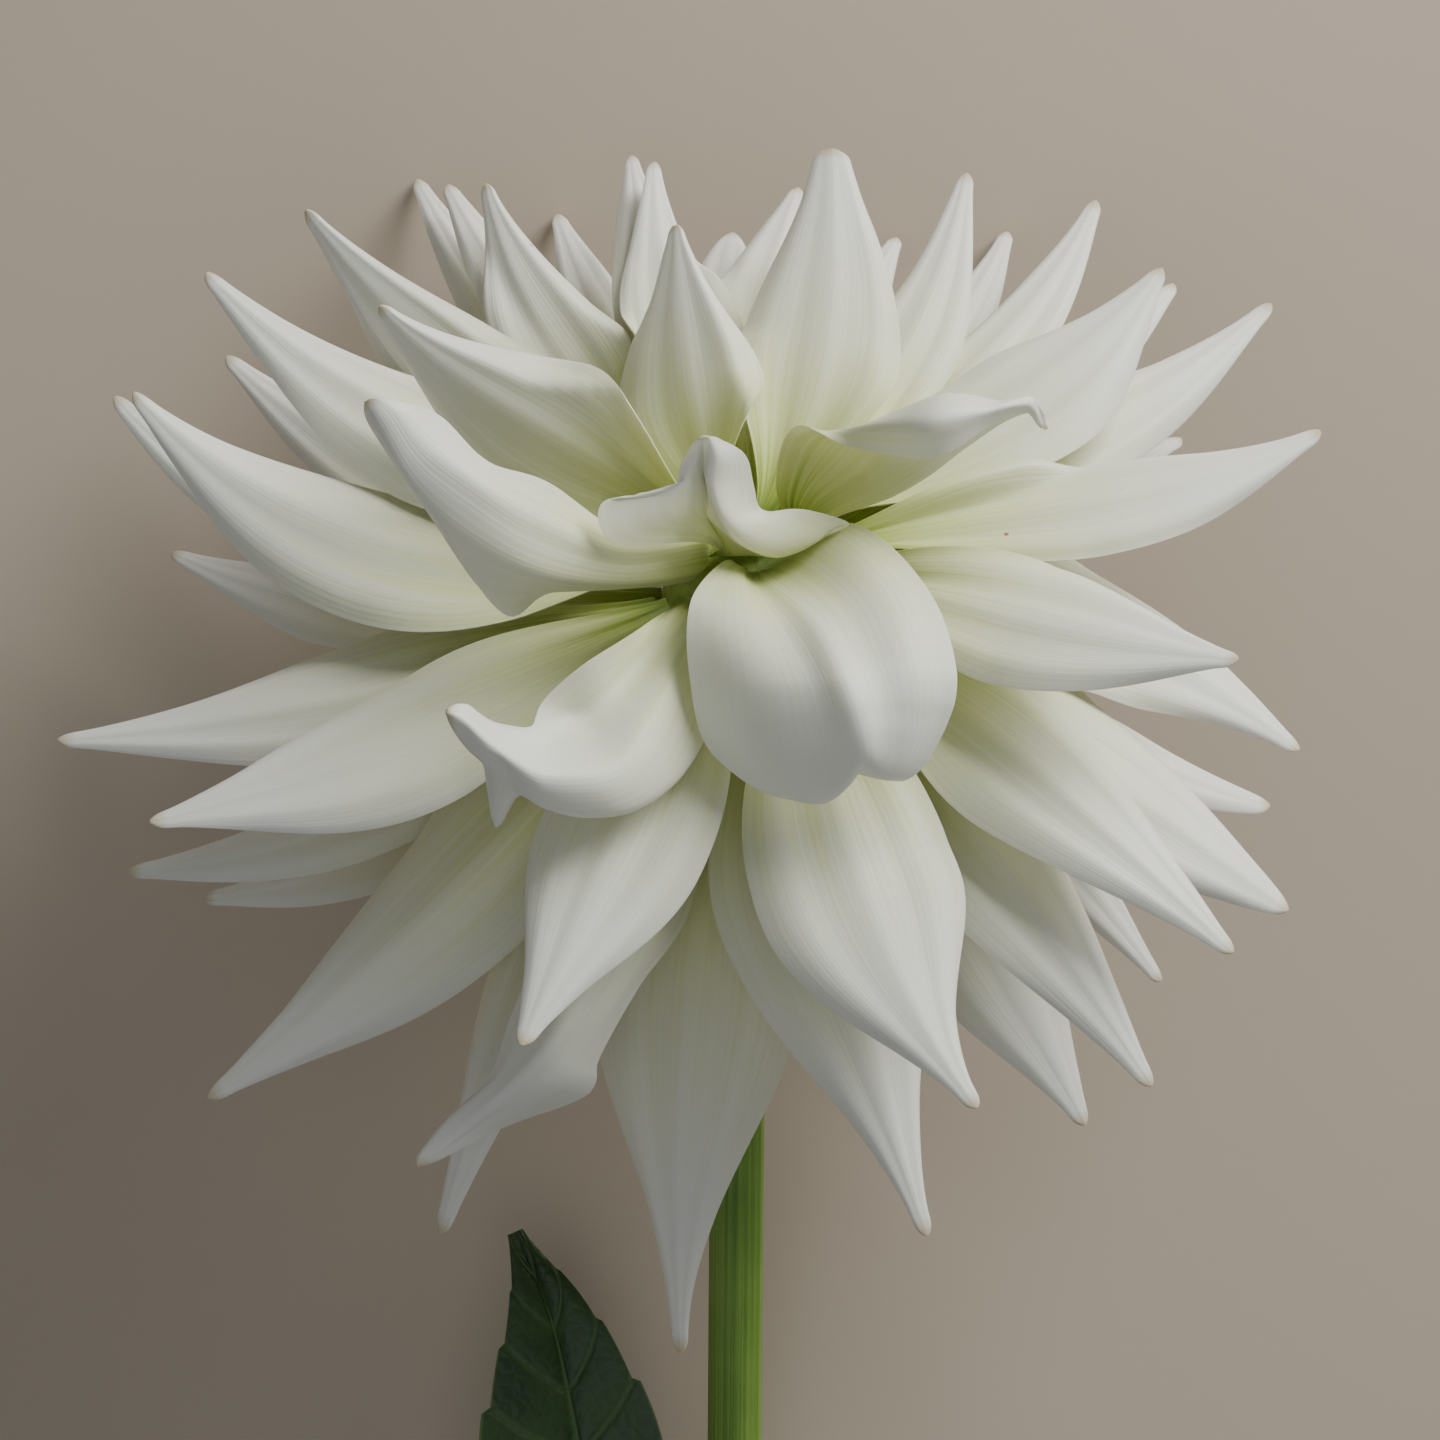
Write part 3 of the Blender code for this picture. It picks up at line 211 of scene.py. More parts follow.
# Petals from the back row to the centre; tips are in millimetres from the receptacle's middle.
PETALS = (
    # Row 0, the outermost.
    petal("petal_10", 0, 334, (67, -62, -24), 17),
    petal("petal_08", 0, 204, (-90, -49, -32), 19, rise=(6, 0), sway=(-24, 22)),
    petal("petal_14", 0, 264, (-11, -118, 12), 35, sway=(6, -6), point=2.0, turn=12),
    petal("petal_11", 0, 240, (-49, -100, 5), 17, sway=(4, -4)),
    petal("petal_07", 0, 2, (86, -34, -38), 14, rise=(10, -6), sway=(10, -14), point=0.8),
    petal("petal_13", 0, 312, (53, -83, 4), 26, broad=0.6, point=1.4),
    petal("petal_09", 0, 186, (-101, -44, -20), 20, rise=(8, 0), sway=(-22, 22)),
    petal("petal_12", 0, 292, (32, -76, 16), 18),
    petal("petal_06", 0, 34, (72, 27, -47), 15, sway=(10, -10)),
    petal("petal_05", 0, 168, (-97, 8, -50), 20, rise=(6, 0), sway=(-18, 16)),
    petal("petal_01", 0, 112, (-33, 66, -69.4), 15, sway=(-6, 6)),
    petal("petal_02", 0, 66, (44, 63, -69.6), 13, sway=(12, -12)),
    petal("petal_04", 0, 148, (-88, 41, -52), 19, rise=(6, 0), sway=(-16, 14)),
    petal("petal_03", 0, 130, (-57, 72, -69.4), 14, sway=(-10, 10)),
    # Row 1.
    petal("petal_15", 1, 76, (25, 62, -69.4), 13),
    petal("petal_16", 1, 122, (-51, 70, -55), 16, sway=(-10, 10)),
    petal("petal_17", 1, 94, (-3, 62, -56), 19, sway=(-8, 8), point=0.8),
    petal("petal_18", 1, 46, (71, 53, -50), 15, sway=(16, -16)),
    petal("petal_19", 1, 160, (-103, 33, -18), 18, rise=(4, 4), sway=(-30, 30)),
    petal("petal_21", 1, 332, (85, -49, 5), 26, broad=0.54, point=0.95, rise=(18, -12)),
    petal("petal_20", 1, 352, (88, -24, -8), 27, sway=(-20, 20)),
    petal("petal_22", 1, 218, (-85, -78, 12), 29, rise=(10, -6), sway=(-14, 12)),
    petal("petal_23", 1, 308, (62, -75, 25), 25),
    petal("petal_24", 1, 242, (-51, -87, 30), 26, ribs=(
        ((-5, -25, 12), (-9, -23, 14), (-13, -22, 15), (-16, -20, 15), (-20, -19, 13)),
        ((-9, -47, 24), (-14, -45, 28), (-18, -43, 29), (-23, -41, 28), (-27, -39, 24)),
        ((-17, -59, 30), (-21, -59, 34), (-26, -58, 35), (-30, -57, 33), (-33, -55, 30)),
        ((-23, -70, 32), (-27, -68, 36), (-30, -67, 38), (-34, -66, 35), (-37, -65, 31)),
        ((-25, -76, 30), (-31, -74, 35), (-36, -74, 36), (-38, -73, 34), (-40, -73, 31)),
        ((-38, -81, 29), (-42, -81, 31), (-44, -81, 32), (-46, -80, 31), (-47, -80, 29)),
    )),
    petal("petal_25", 1, 284, (27, -97, 35), 35, broad=0.42, sway=(8, -6), point=1.8),
    petal("petal_34", 1, 190, (-109, -22, 8), 25, rise=(8, -4), sway=(-14, 12)),
    # Row 2.
    petal("petal_26", 2, 56, (58, 67, -50), 16, rise=(12, 0), sway=(14, -16)),
    petal("petal_27", 2, 104, (-20, 75, -56), 18, sway=(-6, 6), right_lapel=(-75, 0.4, 0.6)),
    petal("petal_28", 2, 84, (8, 69, -48), 21, sway=(-10, 8)),
    petal(
        "petal_29", 2, 122, (-44, 69, -40), 22, rise=(12, 0), sway=(-16, 16), turn=-32,
        right=(0, -20), right_lapel=(-52, 0.32, 0.58),
    ),
    petal("petal_30", 2, 68, (36, 71, -42), 17, rise=(12, 0), sway=(18, -14)),
    petal("petal_31", 2, 34, (86, 49, -36), 19, rise=(8, 0), sway=(14, -14)),
    petal(
        "petal_32", 2, 140, (-73, 64, -30), 24, rise=(8, 0), sway=(-14, 12), turn=-45,
        right=(0, -20), right_lapel=(-62, 0.25, 0.48),
    ),
    petal("petal_33", 2, 162, (-98, 33, 0), 31, rise=(2, 6), sway=(-30, 28), keel=-22),
    petal("petal_35", 2, 206, (-92, -34, 32), 27, rise=(10, -4), sway=(-14, 12), broad=0.54),
    petal("petal_36", 2, 320, (74, -54, 32), 27),
    petal("petal_37", 2, 290, (34, -76, 52), 34, broad=0.56, point=1.8, sway=(6, -18)),
    petal("petal_38", 2, 250, (-34, -66, 60), 28, broad=0.54, sway=(-4, 2)),
    # Row 3.
    petal(
        "petal_39", 3, 100, (-16, 73, -44), 19, rise=(12, 0), sway=(-8, 8), turn=12,
        right=(0, -20), right_lapel=(-55, 0.50, 0.60),
    ),
    petal("petal_40", 3, 46, (67, 54, -22), 25, rise=(8, 0), sway=(17, -17), broad=0.56),
    petal("petal_41", 3, 146, (-88, 53, -16), 25, rise=(6, 2), sway=(-16, 16), keel=-16),
    petal("petal_42", 3, 14, (91, 27, -4), 20, rise=(8, -2), sway=(9, -17), broad=0.52),
    petal("petal_43", 3, 346, (74, -9, 42), 27, rise=(10, -8), sway=(2, -8), broad=0.54),
    petal("petal_44", 3, 222, (-45, -16.5, 63), 36, ribs=(
        ((-2, -6, 24), (-5, -6, 28), (-8, -4, 29), (-12, -3, 28), (-15, -3, 30)),
        ((-6, -20, 34), (-9, -23, 42), (-15, -18, 45), (-21, -14, 40), (-24, -9, 45)),
        ((-16, -28, 42), (-17, -31, 49), (-21, -25, 52), (-27, -18, 42), (-31, -15, 46)),
        ((-27, -27, 47), (-27, -32, 52), (-30, -26, 57), (-31, -21, 48), (-33, -19, 48)),
        ((-33, -26, 50), (-33, -29.5, 54), (-33.5, -25, 59), (-34, -20.5, 52), (-35, -19, 50)),
        ((-38, -35, 46), (-36, -26.5, 56), (-37, -22.5, 60), (-37.5, -19.5, 55), (-38, -18.5, 52)),
        ((-40, -24, 53), (-39.5, -24, 58), (-39.5, -20.5, 62), (-40, -18, 57), (-40.5, -17, 54)),
        ((-43.5, -20.5, 57), (-43.5, -20, 60), (-43.5, -17, 63), (-43.5, -15.5, 61), (-43, -15, 59)),
    )),
    # Row 4.
    petal(
        "petal_45", 4, 74, (13, 73, -16), 27, rise=(10, 0), sway=(16, -10), broad=0.44, point=1.25,
        tip_width=6.0,
    ),
    petal(
        "petal_46", 4, 112, (-12, 60, -6), 28, rise=(8, 0), sway=(-24, 8), broad=0.44, turn=-35,
        right=(0, -20), right_lapel=(-65, 0.20, 0.60),
    ),
    petal("petal_47", 4, 26, (45.5, 26.5, 25), 17, ribs=(
        ((4, 19, 12), (7, 17.5, 11.5), (9, 16, 11.5), (11, 14.5, 12), (13.5, 13, 13)),
        ((7, 27, 17), (11, 25, 15), (15, 22, 15), (18.5, 19, 16), (22, 16, 18)),
        ((16, 23.5, 27), (17, 26.5, 27), (19, 27, 22), (23.5, 23.5, 18), (28, 19.5, 19)),
        ((28, 22, 35), (27, 27, 38), (29, 31.5, 33), (32, 28, 24), (34, 24, 22)),
        ((37, 27, 33), (37, 29, 35), (38.5, 30.5, 32), (39.5, 29, 28), (40, 28, 27)),
        ((42, 29, 31), (42.5, 30, 32), (43.2, 31, 31), (44, 30, 29), (44.5, 29, 28)),
    )),
    petal(
        "petal_48", 4, 150, (-58, 46, 14), 29, rise=(6, 4), sway=(-8, 14), turn=-58, keel=-10,
        right=(0, -20), right_lapel=(-60, 0.30, 0.42),
    ),
    petal("petal_49", 4, 192, (-58, 30, 46), 35, claw_width=3.0, ribs=(
        ((-12, 3, 14), (-9.5, 3.5, 18), (-8, 5, 20.5), (-7.2, 8.5, 20), (-9, 10, 17)),
        ((-23, 3, 20), (-21, 2, 25), (-20, 3, 29), (-20, 7, 31), (-20, 11, 27)),
        ((-32, 1, 26), (-32, 2, 33), (-33, 5, 38), (-33, 12, 39), (-31, 18, 34)),
        ((-38, -2, 29), (-41, 3, 36), (-44, 11, 42), (-41, 17, 43), (-40, 21, 38)),
        ((-47, 10, 35), (-49, 14, 40), (-51, 18, 44), (-49, 23, 45), (-47, 28, 41)),
        ((-56, 25, 42), (-57, 26, 45), (-56, 27, 48), (-54, 29, 48), (-53, 30, 46)),
    )),
    # Row 5, beside the young florets.
    petal("petal_50", 5, 282, (16, -26, 46), 44, ribs=(
        (
            (15, 12, 23), (11, 10, 23.5), (6, 5, 23.5), (2.5, 2.5, 24.5), (0, 3, 24.5),
            (-2, 4.5, 24.5), (-4, 6, 24),
        ),
        (
            (27, 2, 38), (21, 1, 41.5), (14, -1.5, 42.5), (9.5, -3.5, 44.5), (5, -4, 42.8),
            (-2, -3, 41), (-9, 0, 36),
        ),
        (
            (31, -11, 46), (25, -10.5, 50), (18.5, -11, 51.5), (14, -12, 54), (9.5, -12.5, 52.3),
            (0, -12.5, 49), (-9, -12, 42),
        ),
        (
            (29, -20, 46), (25, -19.5, 50), (20.5, -19, 52.5), (16.5, -20, 54.8), (12, -21.5, 52.5),
            (2, -23, 48), (-6, -23, 42),
        ),
        (
            (24, -27, 45), (22, -26.5, 48), (19.5, -26, 50), (17, -24.5, 52), (14, -28, 49.5),
            (10, -30.5, 46), (5, -30, 44),
        ),
    )),
    petal("petal_51", 5, 200, (-7, 25, 38), 34, claw_width=3.0, ribs=(
        ((-5, 8, 17), (-4.5, 8.5, 19), (-3, 8, 17), (4, 7, 22), (12, 11, 21)),
        ((-9, 9, 27), (-7, 12, 26), (-4.5, 11, 21), (3, 7, 27), (15, 12, 25)),
        ((-21, 9, 35), (-9, 14, 31), (-6, 13, 25), (-1, 9, 30), (8, 14, 26)),
        ((-22.5, 15, 36), (-9, 17, 33), (-6.5, 17, 28), (-4.5, 13, 33), (2, 14, 28)),
        ((-12.5, 16.5, 34), (-8.5, 20, 34), (-7, 20, 31), (-6, 18, 35), (0.5, 18, 30)),
        ((-10.5, 21, 34), (-8, 23, 36), (-7, 23, 34), (-5.5, 22, 37), (-1, 22.5, 33)),
    )),
)


def unit(vector):
    return vector / np.linalg.norm(vector)


def axis_direction(polar, azimuth):
    """Direction at a polar angle from the head's axis and an azimuth about it, in degrees."""
    polar = math.radians(polar)
    azimuth = math.radians(azimuth)
    outward = math.cos(azimuth) * ACROSS + math.sin(azimuth) * BACKWARD
    return math.cos(polar) * AXIS + math.sin(polar) * outward


def smooth_route(stops, places):
    """Points on a smooth curve through the stops, at places counted in stops."""
    stops = np.array(stops, float)
    padded = np.concatenate(([2 * stops[0] - stops[1]], stops, [2 * stops[-1] - stops[-2]]))
    first = np.minimum(np.asarray(places).astype(int), len(stops) - 2)
    t = (np.asarray(places) - first).reshape((-1,) + (1,) * (stops.ndim - 1))
    a, b, c, d = (padded[first + k] for k in range(4))
    return 0.5 * (
        2 * b + (c - a) * t + (2 * a - 5 * b + 4 * c - d) * t ** 2
        + (3 * b - a - 3 * c + d) * t ** 3
    )


def leaning(chord, face, side, rise, sway):
    """The chord's direction leant towards the face and the side by two angles in degrees."""
    lean = chord + math.tan(math.radians(rise)) * face + math.tan(math.radians(sway)) * side
    return unit(lean)


def midrib(design, seat):
    """Points, tangents and face directions along a petal's midrib."""
    chord = design["tip"] - seat
    length = np.linalg.norm(chord)
    chord = chord / length
    face = unit(AXIS - (AXIS @ chord) * chord)
    side = np.cross(chord, face)
    depart = leaning(chord, face, side, design["rise"][0], design["sway"][0])
    arrive = leaning(chord, face, side, design["rise"][1], design["sway"][1])
    handle = length * HANDLE
    ends = (seat, seat + handle * depart, design["tip"] - handle * arrive, design["tip"])
    s = np.linspace(0.0, 1.0, STATIONS)[:, None]
    points = (
        (1 - s) ** 3 * ends[0] + 3 * s * (1 - s) ** 2 * ends[1]
        + 3 * s ** 2 * (1 - s) * ends[2] + s ** 3 * ends[3]
    )
    tangents = np.gradient(points, axis=0)
    tangents /= np.linalg.norm(tangents, axis=1)[:, None]
    faces = np.empty_like(points)
    for i, tangent in enumerate(tangents):
        face = unit(face - (face @ tangent) * tangent)
        faces[i] = face
    return points, tangents, faces


def half_widths(design):
    """Half of the petal's flat width at each station, from the narrow claw to the pointed tip."""
    s = np.linspace(0.0, 1.0, STATIONS)
    broad = design["broad"]
    opening = np.sin(np.clip(s / broad, 0, 1) * math.pi / 2) ** 1.4
    closing = np.cos(np.clip((s - broad) / (1 - broad), 0, 1) * math.pi / 2) ** design["point"]
    claw = design["claw_width"] + (design["width"] - design["claw_width"]) * opening
    widths = design["tip_width"] + (claw - design["tip_width"]) * closing
    return widths / 2


def eased(value):
    """Smooth step from 0 to 1 as the value goes from 0 to 1."""
    value = np.clip(value, 0, 1)
    return value * value * (3 - 2 * value)


def blend(stops, s):
    """Value at s along stops that are evenly spaced from 0 to 1."""
    return np.interp(s, np.linspace(0, 1, len(stops)), stops)


def section(design, half, s, sign):
    """Sideways and face-ways offsets from midrib to margin of one side of the blade."""
    q = (np.arange(SECTION_STEPS) + 0.5) / SECTION_STEPS
    mid_roll, tip_roll = design["right"] if sign > 0 else design["left"]
    roll = blend((0, mid_roll, tip_roll), s) * min(1.0, half / ROLL_FULL_WIDTH)
    keel = design["keel"] * min(1.0, s * 4)
    bend = keel * np.tanh(q / KEEL_SPREAD) + blend(design["cup"], s) * q
    margin = np.clip((q - ROLL_START) / (1 - ROLL_START), 0, None)
    bend = bend + roll * margin ** 1.3
    lapel = design["right_lapel"] if sign > 0 else design["left_lapel"]
    if lapel:
        angle, start, inner = lapel
        crease = 1 - (1 - inner) * eased((s - start) / LAPEL_RUN)
        bend = bend + angle * eased((q - crease) / LAPEL_CREASE)
    bend = np.radians(bend)
    step = half / SECTION_STEPS
    across = np.concatenate(([0], np.cumsum(np.cos(bend)))) * step
    raised = np.concatenate(([0], np.cumsum(np.sin(bend)))) * step
    places = np.arange(SECTION_STEPS + 1)
    wave = math.sin(math.tau * RIPPLE_WAVES * s + design["azimuth"] + sign)
    raised = raised + RIPPLE * wave * math.sin(math.pi * s) * (places / SECTION_STEPS) ** 3
    wanted = np.linspace(0, SECTION_STEPS, (COLUMNS + 1) // 2)
    return np.interp(wanted, places, across), np.interp(wanted, places, raised)


def blade(design, seat):
    """A petal's lattice of points, and the face direction at each station."""
    if design["ribs"]:
        return loft(design, seat)
    points, tangents, faces = midrib(design, seat)
    halves = half_widths(design)
    lattice = np.empty((STATIONS, COLUMNS, 3))
    normals = np.empty((STATIONS, 3))
    middle = COLUMNS // 2
    for i, s in enumerate(np.linspace(0, 1, STATIONS)):
        roll = math.radians(design["turn"] + design["twist"] * s ** 2)
        side = np.cross(tangents[i], faces[i])
        face = math.cos(roll) * faces[i] + math.sin(roll) * side
        side = np.cross(tangents[i], face)
        normals[i] = face
        for sign in (-1, 1):
            across, raised = section(design, halves[i], s, sign)
            rows = points[i] + sign * across[:, None] * side + raised[:, None] * face
            if sign > 0:
                lattice[i, middle:] = rows
            else:
                lattice[i, :middle + 1] = rows[::-1]
    return lattice, normals


def loft(design, seat):
    """A petal's lattice through its listed ribs, and the way that it is lifted at each station."""
    ribs = np.array(design["ribs"], float)
    share = np.linspace(-0.5, 0.5, ribs.shape[1])[:, None]
    outward = unit(seat)
    side = ribs[0, -1] - ribs[0, 0]
    claw = seat + design["claw_width"] * share * unit(side - (side @ outward) * outward)
    end = design["tip"] + design["tip_width"] * share * unit(ribs[-1, -1] - ribs[-1, 0])
    stops = np.concatenate(([claw], ribs, [end]))
    middle = stops[:, ribs.shape[1] // 2]
    travelled = np.concatenate(([0], np.cumsum(np.linalg.norm(np.diff(middle, axis=0), axis=1))))
    evenly = np.linspace(0, travelled[-1], STATIONS)
    along = smooth_route(stops, np.interp(evenly, travelled, np.arange(len(stops))))
    wanted = np.linspace(0, ribs.shape[1] - 1, COLUMNS)
    lattice = smooth_route(along.swapaxes(0, 1), wanted).swapaxes(0, 1)
    return lattice, np.tile(UPWARD, (STATIONS, 1))


def lattice_faces(rows, columns):
    """Quads of a sheet's lattice, wound so that they face its upper side."""
    faces = []
    for i in range(rows - 1):
        for j in range(columns - 1):
            corner = i * columns + j
            faces.append((corner, corner + 1, corner + columns + 1, corner + columns))
    return faces


def surface_tree(lattices):
    """Search tree over the sheets that are already in place."""
    points = []
    faces = []
    for lattice in lattices:
        rows, columns = lattice.shape[:2]
        start = len(points)
        points.extend(Vector(p) for p in lattice.reshape(-1, 3))
        faces.extend(tuple(start + k for k in face) for face in lattice_faces(rows, columns))
    return BVHTree.FromPolygons(points, faces)


def lift_needed(lattice, normals, tree):
    """How far each lattice point has to move along its face direction to clear what lies under it."""
    rows, columns = lattice.shape[:2]
    lift = np.zeros((rows, columns))
    near_enough = PETAL_CLEARANCE * 0.8
    for i in range(rows):
        direction = Vector(normals[i])
        for j in range(columns):
            start = Vector(lattice[i, j]) + direction * LIFT_REACH
            hit = tree.ray_cast(start, -direction, LIFT_REACH + PETAL_CLEARANCE)
            if hit[0] is not None:
                lift[i, j] = PETAL_CLEARANCE + LIFT_REACH - hit[3]
            near = tree.find_nearest(Vector(lattice[i, j]), near_enough)
            if near[0] is not None:
                lift[i, j] = max(lift[i, j], near_enough - near[3])
    return lift


def spread(lift):
    """Smooth cover over a field of lifts that is nowhere lower than the lifts themselves."""
    padded = np.pad(lift, 2, mode="edge")
    rows, columns = lift.shape
    highest = np.zeros((rows + 2, columns + 2))
    for di in range(3):
        for dj in range(3):
            highest = np.maximum(highest, padded[di:di + rows + 2, dj:dj + columns + 2])
    smooth = np.zeros_like(lift)
    for di in range(3):
        for dj in range(3):
            smooth += highest[di:di + rows, dj:dj + columns] / 9
    return smooth


def settle(lattice, normals, placed):
    """Lift a sheet clear of the sheets under it, easing out along its length."""
    if not placed:
        return lattice
    tree = surface_tree(placed)
    for _ in range(LIFT_ROUNDS):
        lift = lift_needed(lattice, normals, tree)
        lift[0] = 0
        if lift.max() < 0.02:
            break
        lattice = lattice + spread(lift)[..., None] * normals[:, None, :]
    return lattice


def sheet_normals(lattice):
    """Unit normals of a sheet at its lattice points."""
    along = np.gradient(lattice, axis=0)
    across = np.gradient(lattice, axis=1)
    normals = np.cross(across, along)
    return normals / np.linalg.norm(normals, axis=2)[..., None]


def seat_of(design):
    """Where a petal or bract is seated, just off the receptacle."""
    polar = BRACT_POLAR if design["row"] is None else ROW_POLAR[design["row"]]
    return axis_direction(polar, design["azimuth"]) * (DOME_RADIUS + SEAT_GAP)


def bracts():
    """Green outer bracts behind the petals, turned back towards the stem."""
    designs = []
    for k in range(BRACT_COUNT):
        azimuth = 18 + 360 / BRACT_COUNT * k
        tip = axis_direction(150, azimuth) * 30
        designs.append(petal(
            f"bract_{k + 1}", None, azimuth, tip, 10, rise=(28, -30), keel=0,
            cup=(50, 14, 20), left=(0, 0), right=(0, 0), broad=0.6, point=0.8,
        ))
    return designs


def floret_sheets():
    """Every bract's and petal's finished lattice by name, laid in order."""
    sheets = {}
    for design in bracts() + list(PETALS):
        lattice, normals = blade(design, seat_of(design))
        sheets[design["name"]] = settle(lattice, normals, list(sheets.values()))
    return sheets


def leaf_half(share, c, toothed):
    """Half width of the leaf's blade on the side of c; share runs from stalk to tip, and toothed from
    0 inside the blade to 1 at its margin."""
    reach = LEAF_RIGHT if c > 0 else LEAF_LEFT
    swell = math.sin(math.pi * min(1.0, share ** 0.62)) ** 1.3
    tooth = 1 - 0.11 * toothed * (1 - (share * LEAF_TEETH) % 1.0)
    return LEAF_STALK_HALF + reach * swell * tooth


def leaf_fold(s, c, half):
    """Rise of the leaf's blade over its midrib: a shallow fold with a slow wave."""
    return 0.16 * abs(c) * half + 0.7 * math.sin(9 * s + 2 * c) * abs(c)


# ---- Meshes ----

def blade_places(rows, columns):
    """Place along (0 at the seat) of each fine row and across (-1 to 1) of each fine column."""
    along = 1 - (1 - np.linspace(0, 1, rows)) ** TIP_CROWDING
    return along[:, None], np.linspace(-1, 1, columns)[None, :]


def fine_sheet(lattice, along, across):
    """The same sheet on a finer lattice."""
    rows = smooth_route(lattice, along[:, 0] * (len(lattice) - 1))
    places = (across[0] + 1) / 2 * (lattice.shape[1] - 1)
    return smooth_route(rows.swapaxes(0, 1), places).swapaxes(0, 1)


def rounded_tip(sheet, along):
    """The sheet with its last rows drawn in to a round tip."""
    past = np.clip((along[:, 0] - (1 - TIP_ROUND)) / TIP_ROUND, 0, 0.98)
    narrowing = np.sqrt(1 - past ** 2)[:, None, None]
    middle = sheet[:, sheet.shape[1] // 2][:, None]
    return middle + (sheet - middle) * narrowing


def petal_relief(along, across, draw):
    """Lengthwise furrows and waved margins of one petal, in millimetres along its normals."""
    phase = draw.uniform(0, math.tau, 5)
    count = draw.uniform(1.35, 1.75)
    fade = np.clip(along / 0.1, 0, 1) * np.clip((1 - along) / 0.4, 0, 1)
    drift = 0.05 * np.sin(3 * along + phase[0])
    furrows = FURROW_DEPTH * np.cos(math.tau * count * (across + drift) + 0.5 * np.sin(phase[1]))
    furrows = furrows + FINE_FURROW_DEPTH * np.cos(math.tau * 3.6 * (across - drift) + phase[2])
    inner = 1 - np.abs(across) ** 6
    left = np.clip(-across, 0, 1) ** 3 * np.sin(math.tau * 2.3 * along + phase[3])
    right = np.clip(across, 0, 1) ** 3 * np.sin(math.tau * 1.9 * along + phase[4])
    return fade * (furrows * inner + MARGIN_WAVE * (left + right))


def solid_sheet(sheet, thickness):
    """Closed solid round a sheet: its points, and the faces of its two sides and its rim."""
    rows, columns = sheet.shape[:2]
    offset = sheet_normals(sheet) * (thickness / 2)[..., None]
    count = rows * columns
    upper = lattice_faces(rows, columns)
    lower = [tuple(count + k for k in reversed(face)) for face in upper]
    rim = [(0, j) for j in range(columns)]
    rim += [(i, columns - 1) for i in range(1, rows)]
    rim += [(rows - 1, j) for j in range(columns - 2, -1, -1)]
    rim += [(i, 0) for i in range(rows - 2, 0, -1)]
    ring = [i * columns + j for i, j in rim]
    edge = [(there, here, count + here, count + there)
            for here, there in zip(ring, ring[1:] + ring[:1])]
    points = np.concatenate(((sheet + offset).reshape(-1, 3), (sheet - offset).reshape(-1, 3)))
    return points, upper + lower + edge


def add_piece(name, points, faces, material, node, marks=None, mark_name="blade"):
    """A piece from points about the receptacle, in millimetres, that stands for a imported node."""
    mesh = bpy.data.meshes.new(name)
    placed = np.asarray(points) * MM + HEAD
    mesh.from_pydata(placed.tolist(), [], faces)
    mesh.shade_smooth()
    mesh.set_sharp_from_angle(angle=math.radians(60))
    mesh.materials.append(material)
    if marks is not None:
        layer = mesh.attributes.new(mark_name, "FLOAT_VECTOR", "POINT")
        layer.data.foreach_set("vector", np.asarray(marks, np.float32).ravel())
    piece = bpy.data.objects.new(name, mesh)
    bpy.context.scene.collection.objects.link(piece)
    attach(piece, "root")
    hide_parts(node)
    return piece


def blade_marks(along, across, seed):
    """Place across and along the blade, and the blade's own number, for both sides of its solid."""
    rows = len(along)
    columns = across.shape[1]
    marks = np.empty((rows, columns, 3))
    marks[..., 0] = across
    marks[..., 1] = along
    marks[..., 2] = seed
    return np.tile(marks.reshape(-1, 3), (2, 1))


def add_blade(name, lattice, number, thickness, material, node):
    """A fine petal or bract from its settled lattice."""
    draw = np.random.default_rng(number)
    along, across = blade_places(PETAL_ROWS, PETAL_COLUMNS)
    sheet = fine_sheet(lattice, along, across)
    relief = petal_relief(along, across, draw)
    sheet = sheet + sheet_normals(sheet) * relief[..., None]
    sheet = rounded_tip(sheet, along)
    depth = thickness * (1 - MARGIN_THINNING * np.abs(across) ** 5) * np.ones_like(along)
    points, faces = solid_sheet(sheet, depth)
    marks = blade_marks(along, across, draw.uniform())
    return add_piece(name, points, faces, material, node, marks)


def turned(profile, sides, centre=(0, 0, 0), axis=AXIS, east=ACROSS, swell=0.0, lobes=0):
    """Closed solid turned about an axis, starting at its east, from (radius, height) pairs."""
    centre = np.array(centre, float)
    north = np.cross(axis, east)
    points = [centre + axis * profile[0][1]]
    for level, (radius, height) in enumerate(profile[1:-1]):
        for k in range(sides):
            angle = math.tau * (k + 0.5 * (level % 2)) / sides
            outward = math.cos(angle) * east + math.sin(angle) * north
            grown = radius * (1 + swell * math.cos(lobes * angle))
            points.append(centre + axis * height + outward * grown)
    points.append(centre + axis * profile[-1][1])
    last = len(points) - 1
    faces = [(0, 1 + k, 1 + (k + 1) % sides) for k in range(sides)]
    for level in range(len(profile) - 3):
        ring = 1 + level * sides
        for k in range(sides):
            there = ring + (k + 1) % sides
            faces.append((ring + k, ring + k + sides, there + sides, there))
    ring = 1 + (len(profile) - 3) * sides
    faces += [(last, ring + (k + 1) % sides, ring + k) for k in range(sides)]
    return points, faces


def dome_profile(step):
    """Outline of the receptacle from its pole to the top of the stem, by steps in degrees."""
    outline = []
    for angle in range(0, 121, step):
        angle = math.radians(angle)
        outline.append((DOME_RADIUS * math.sin(angle), DOME_RADIUS * math.cos(angle)))
    return outline + list(DOME_BACK)


def head_place():
    """Where the middle of the receptacle stands, in metres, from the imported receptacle's box."""
    points, _ = turned(dome_profile(15), DOME_SIDES)
    return np.array(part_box("receptacle")[0]) - np.min(points, axis=0) * MM


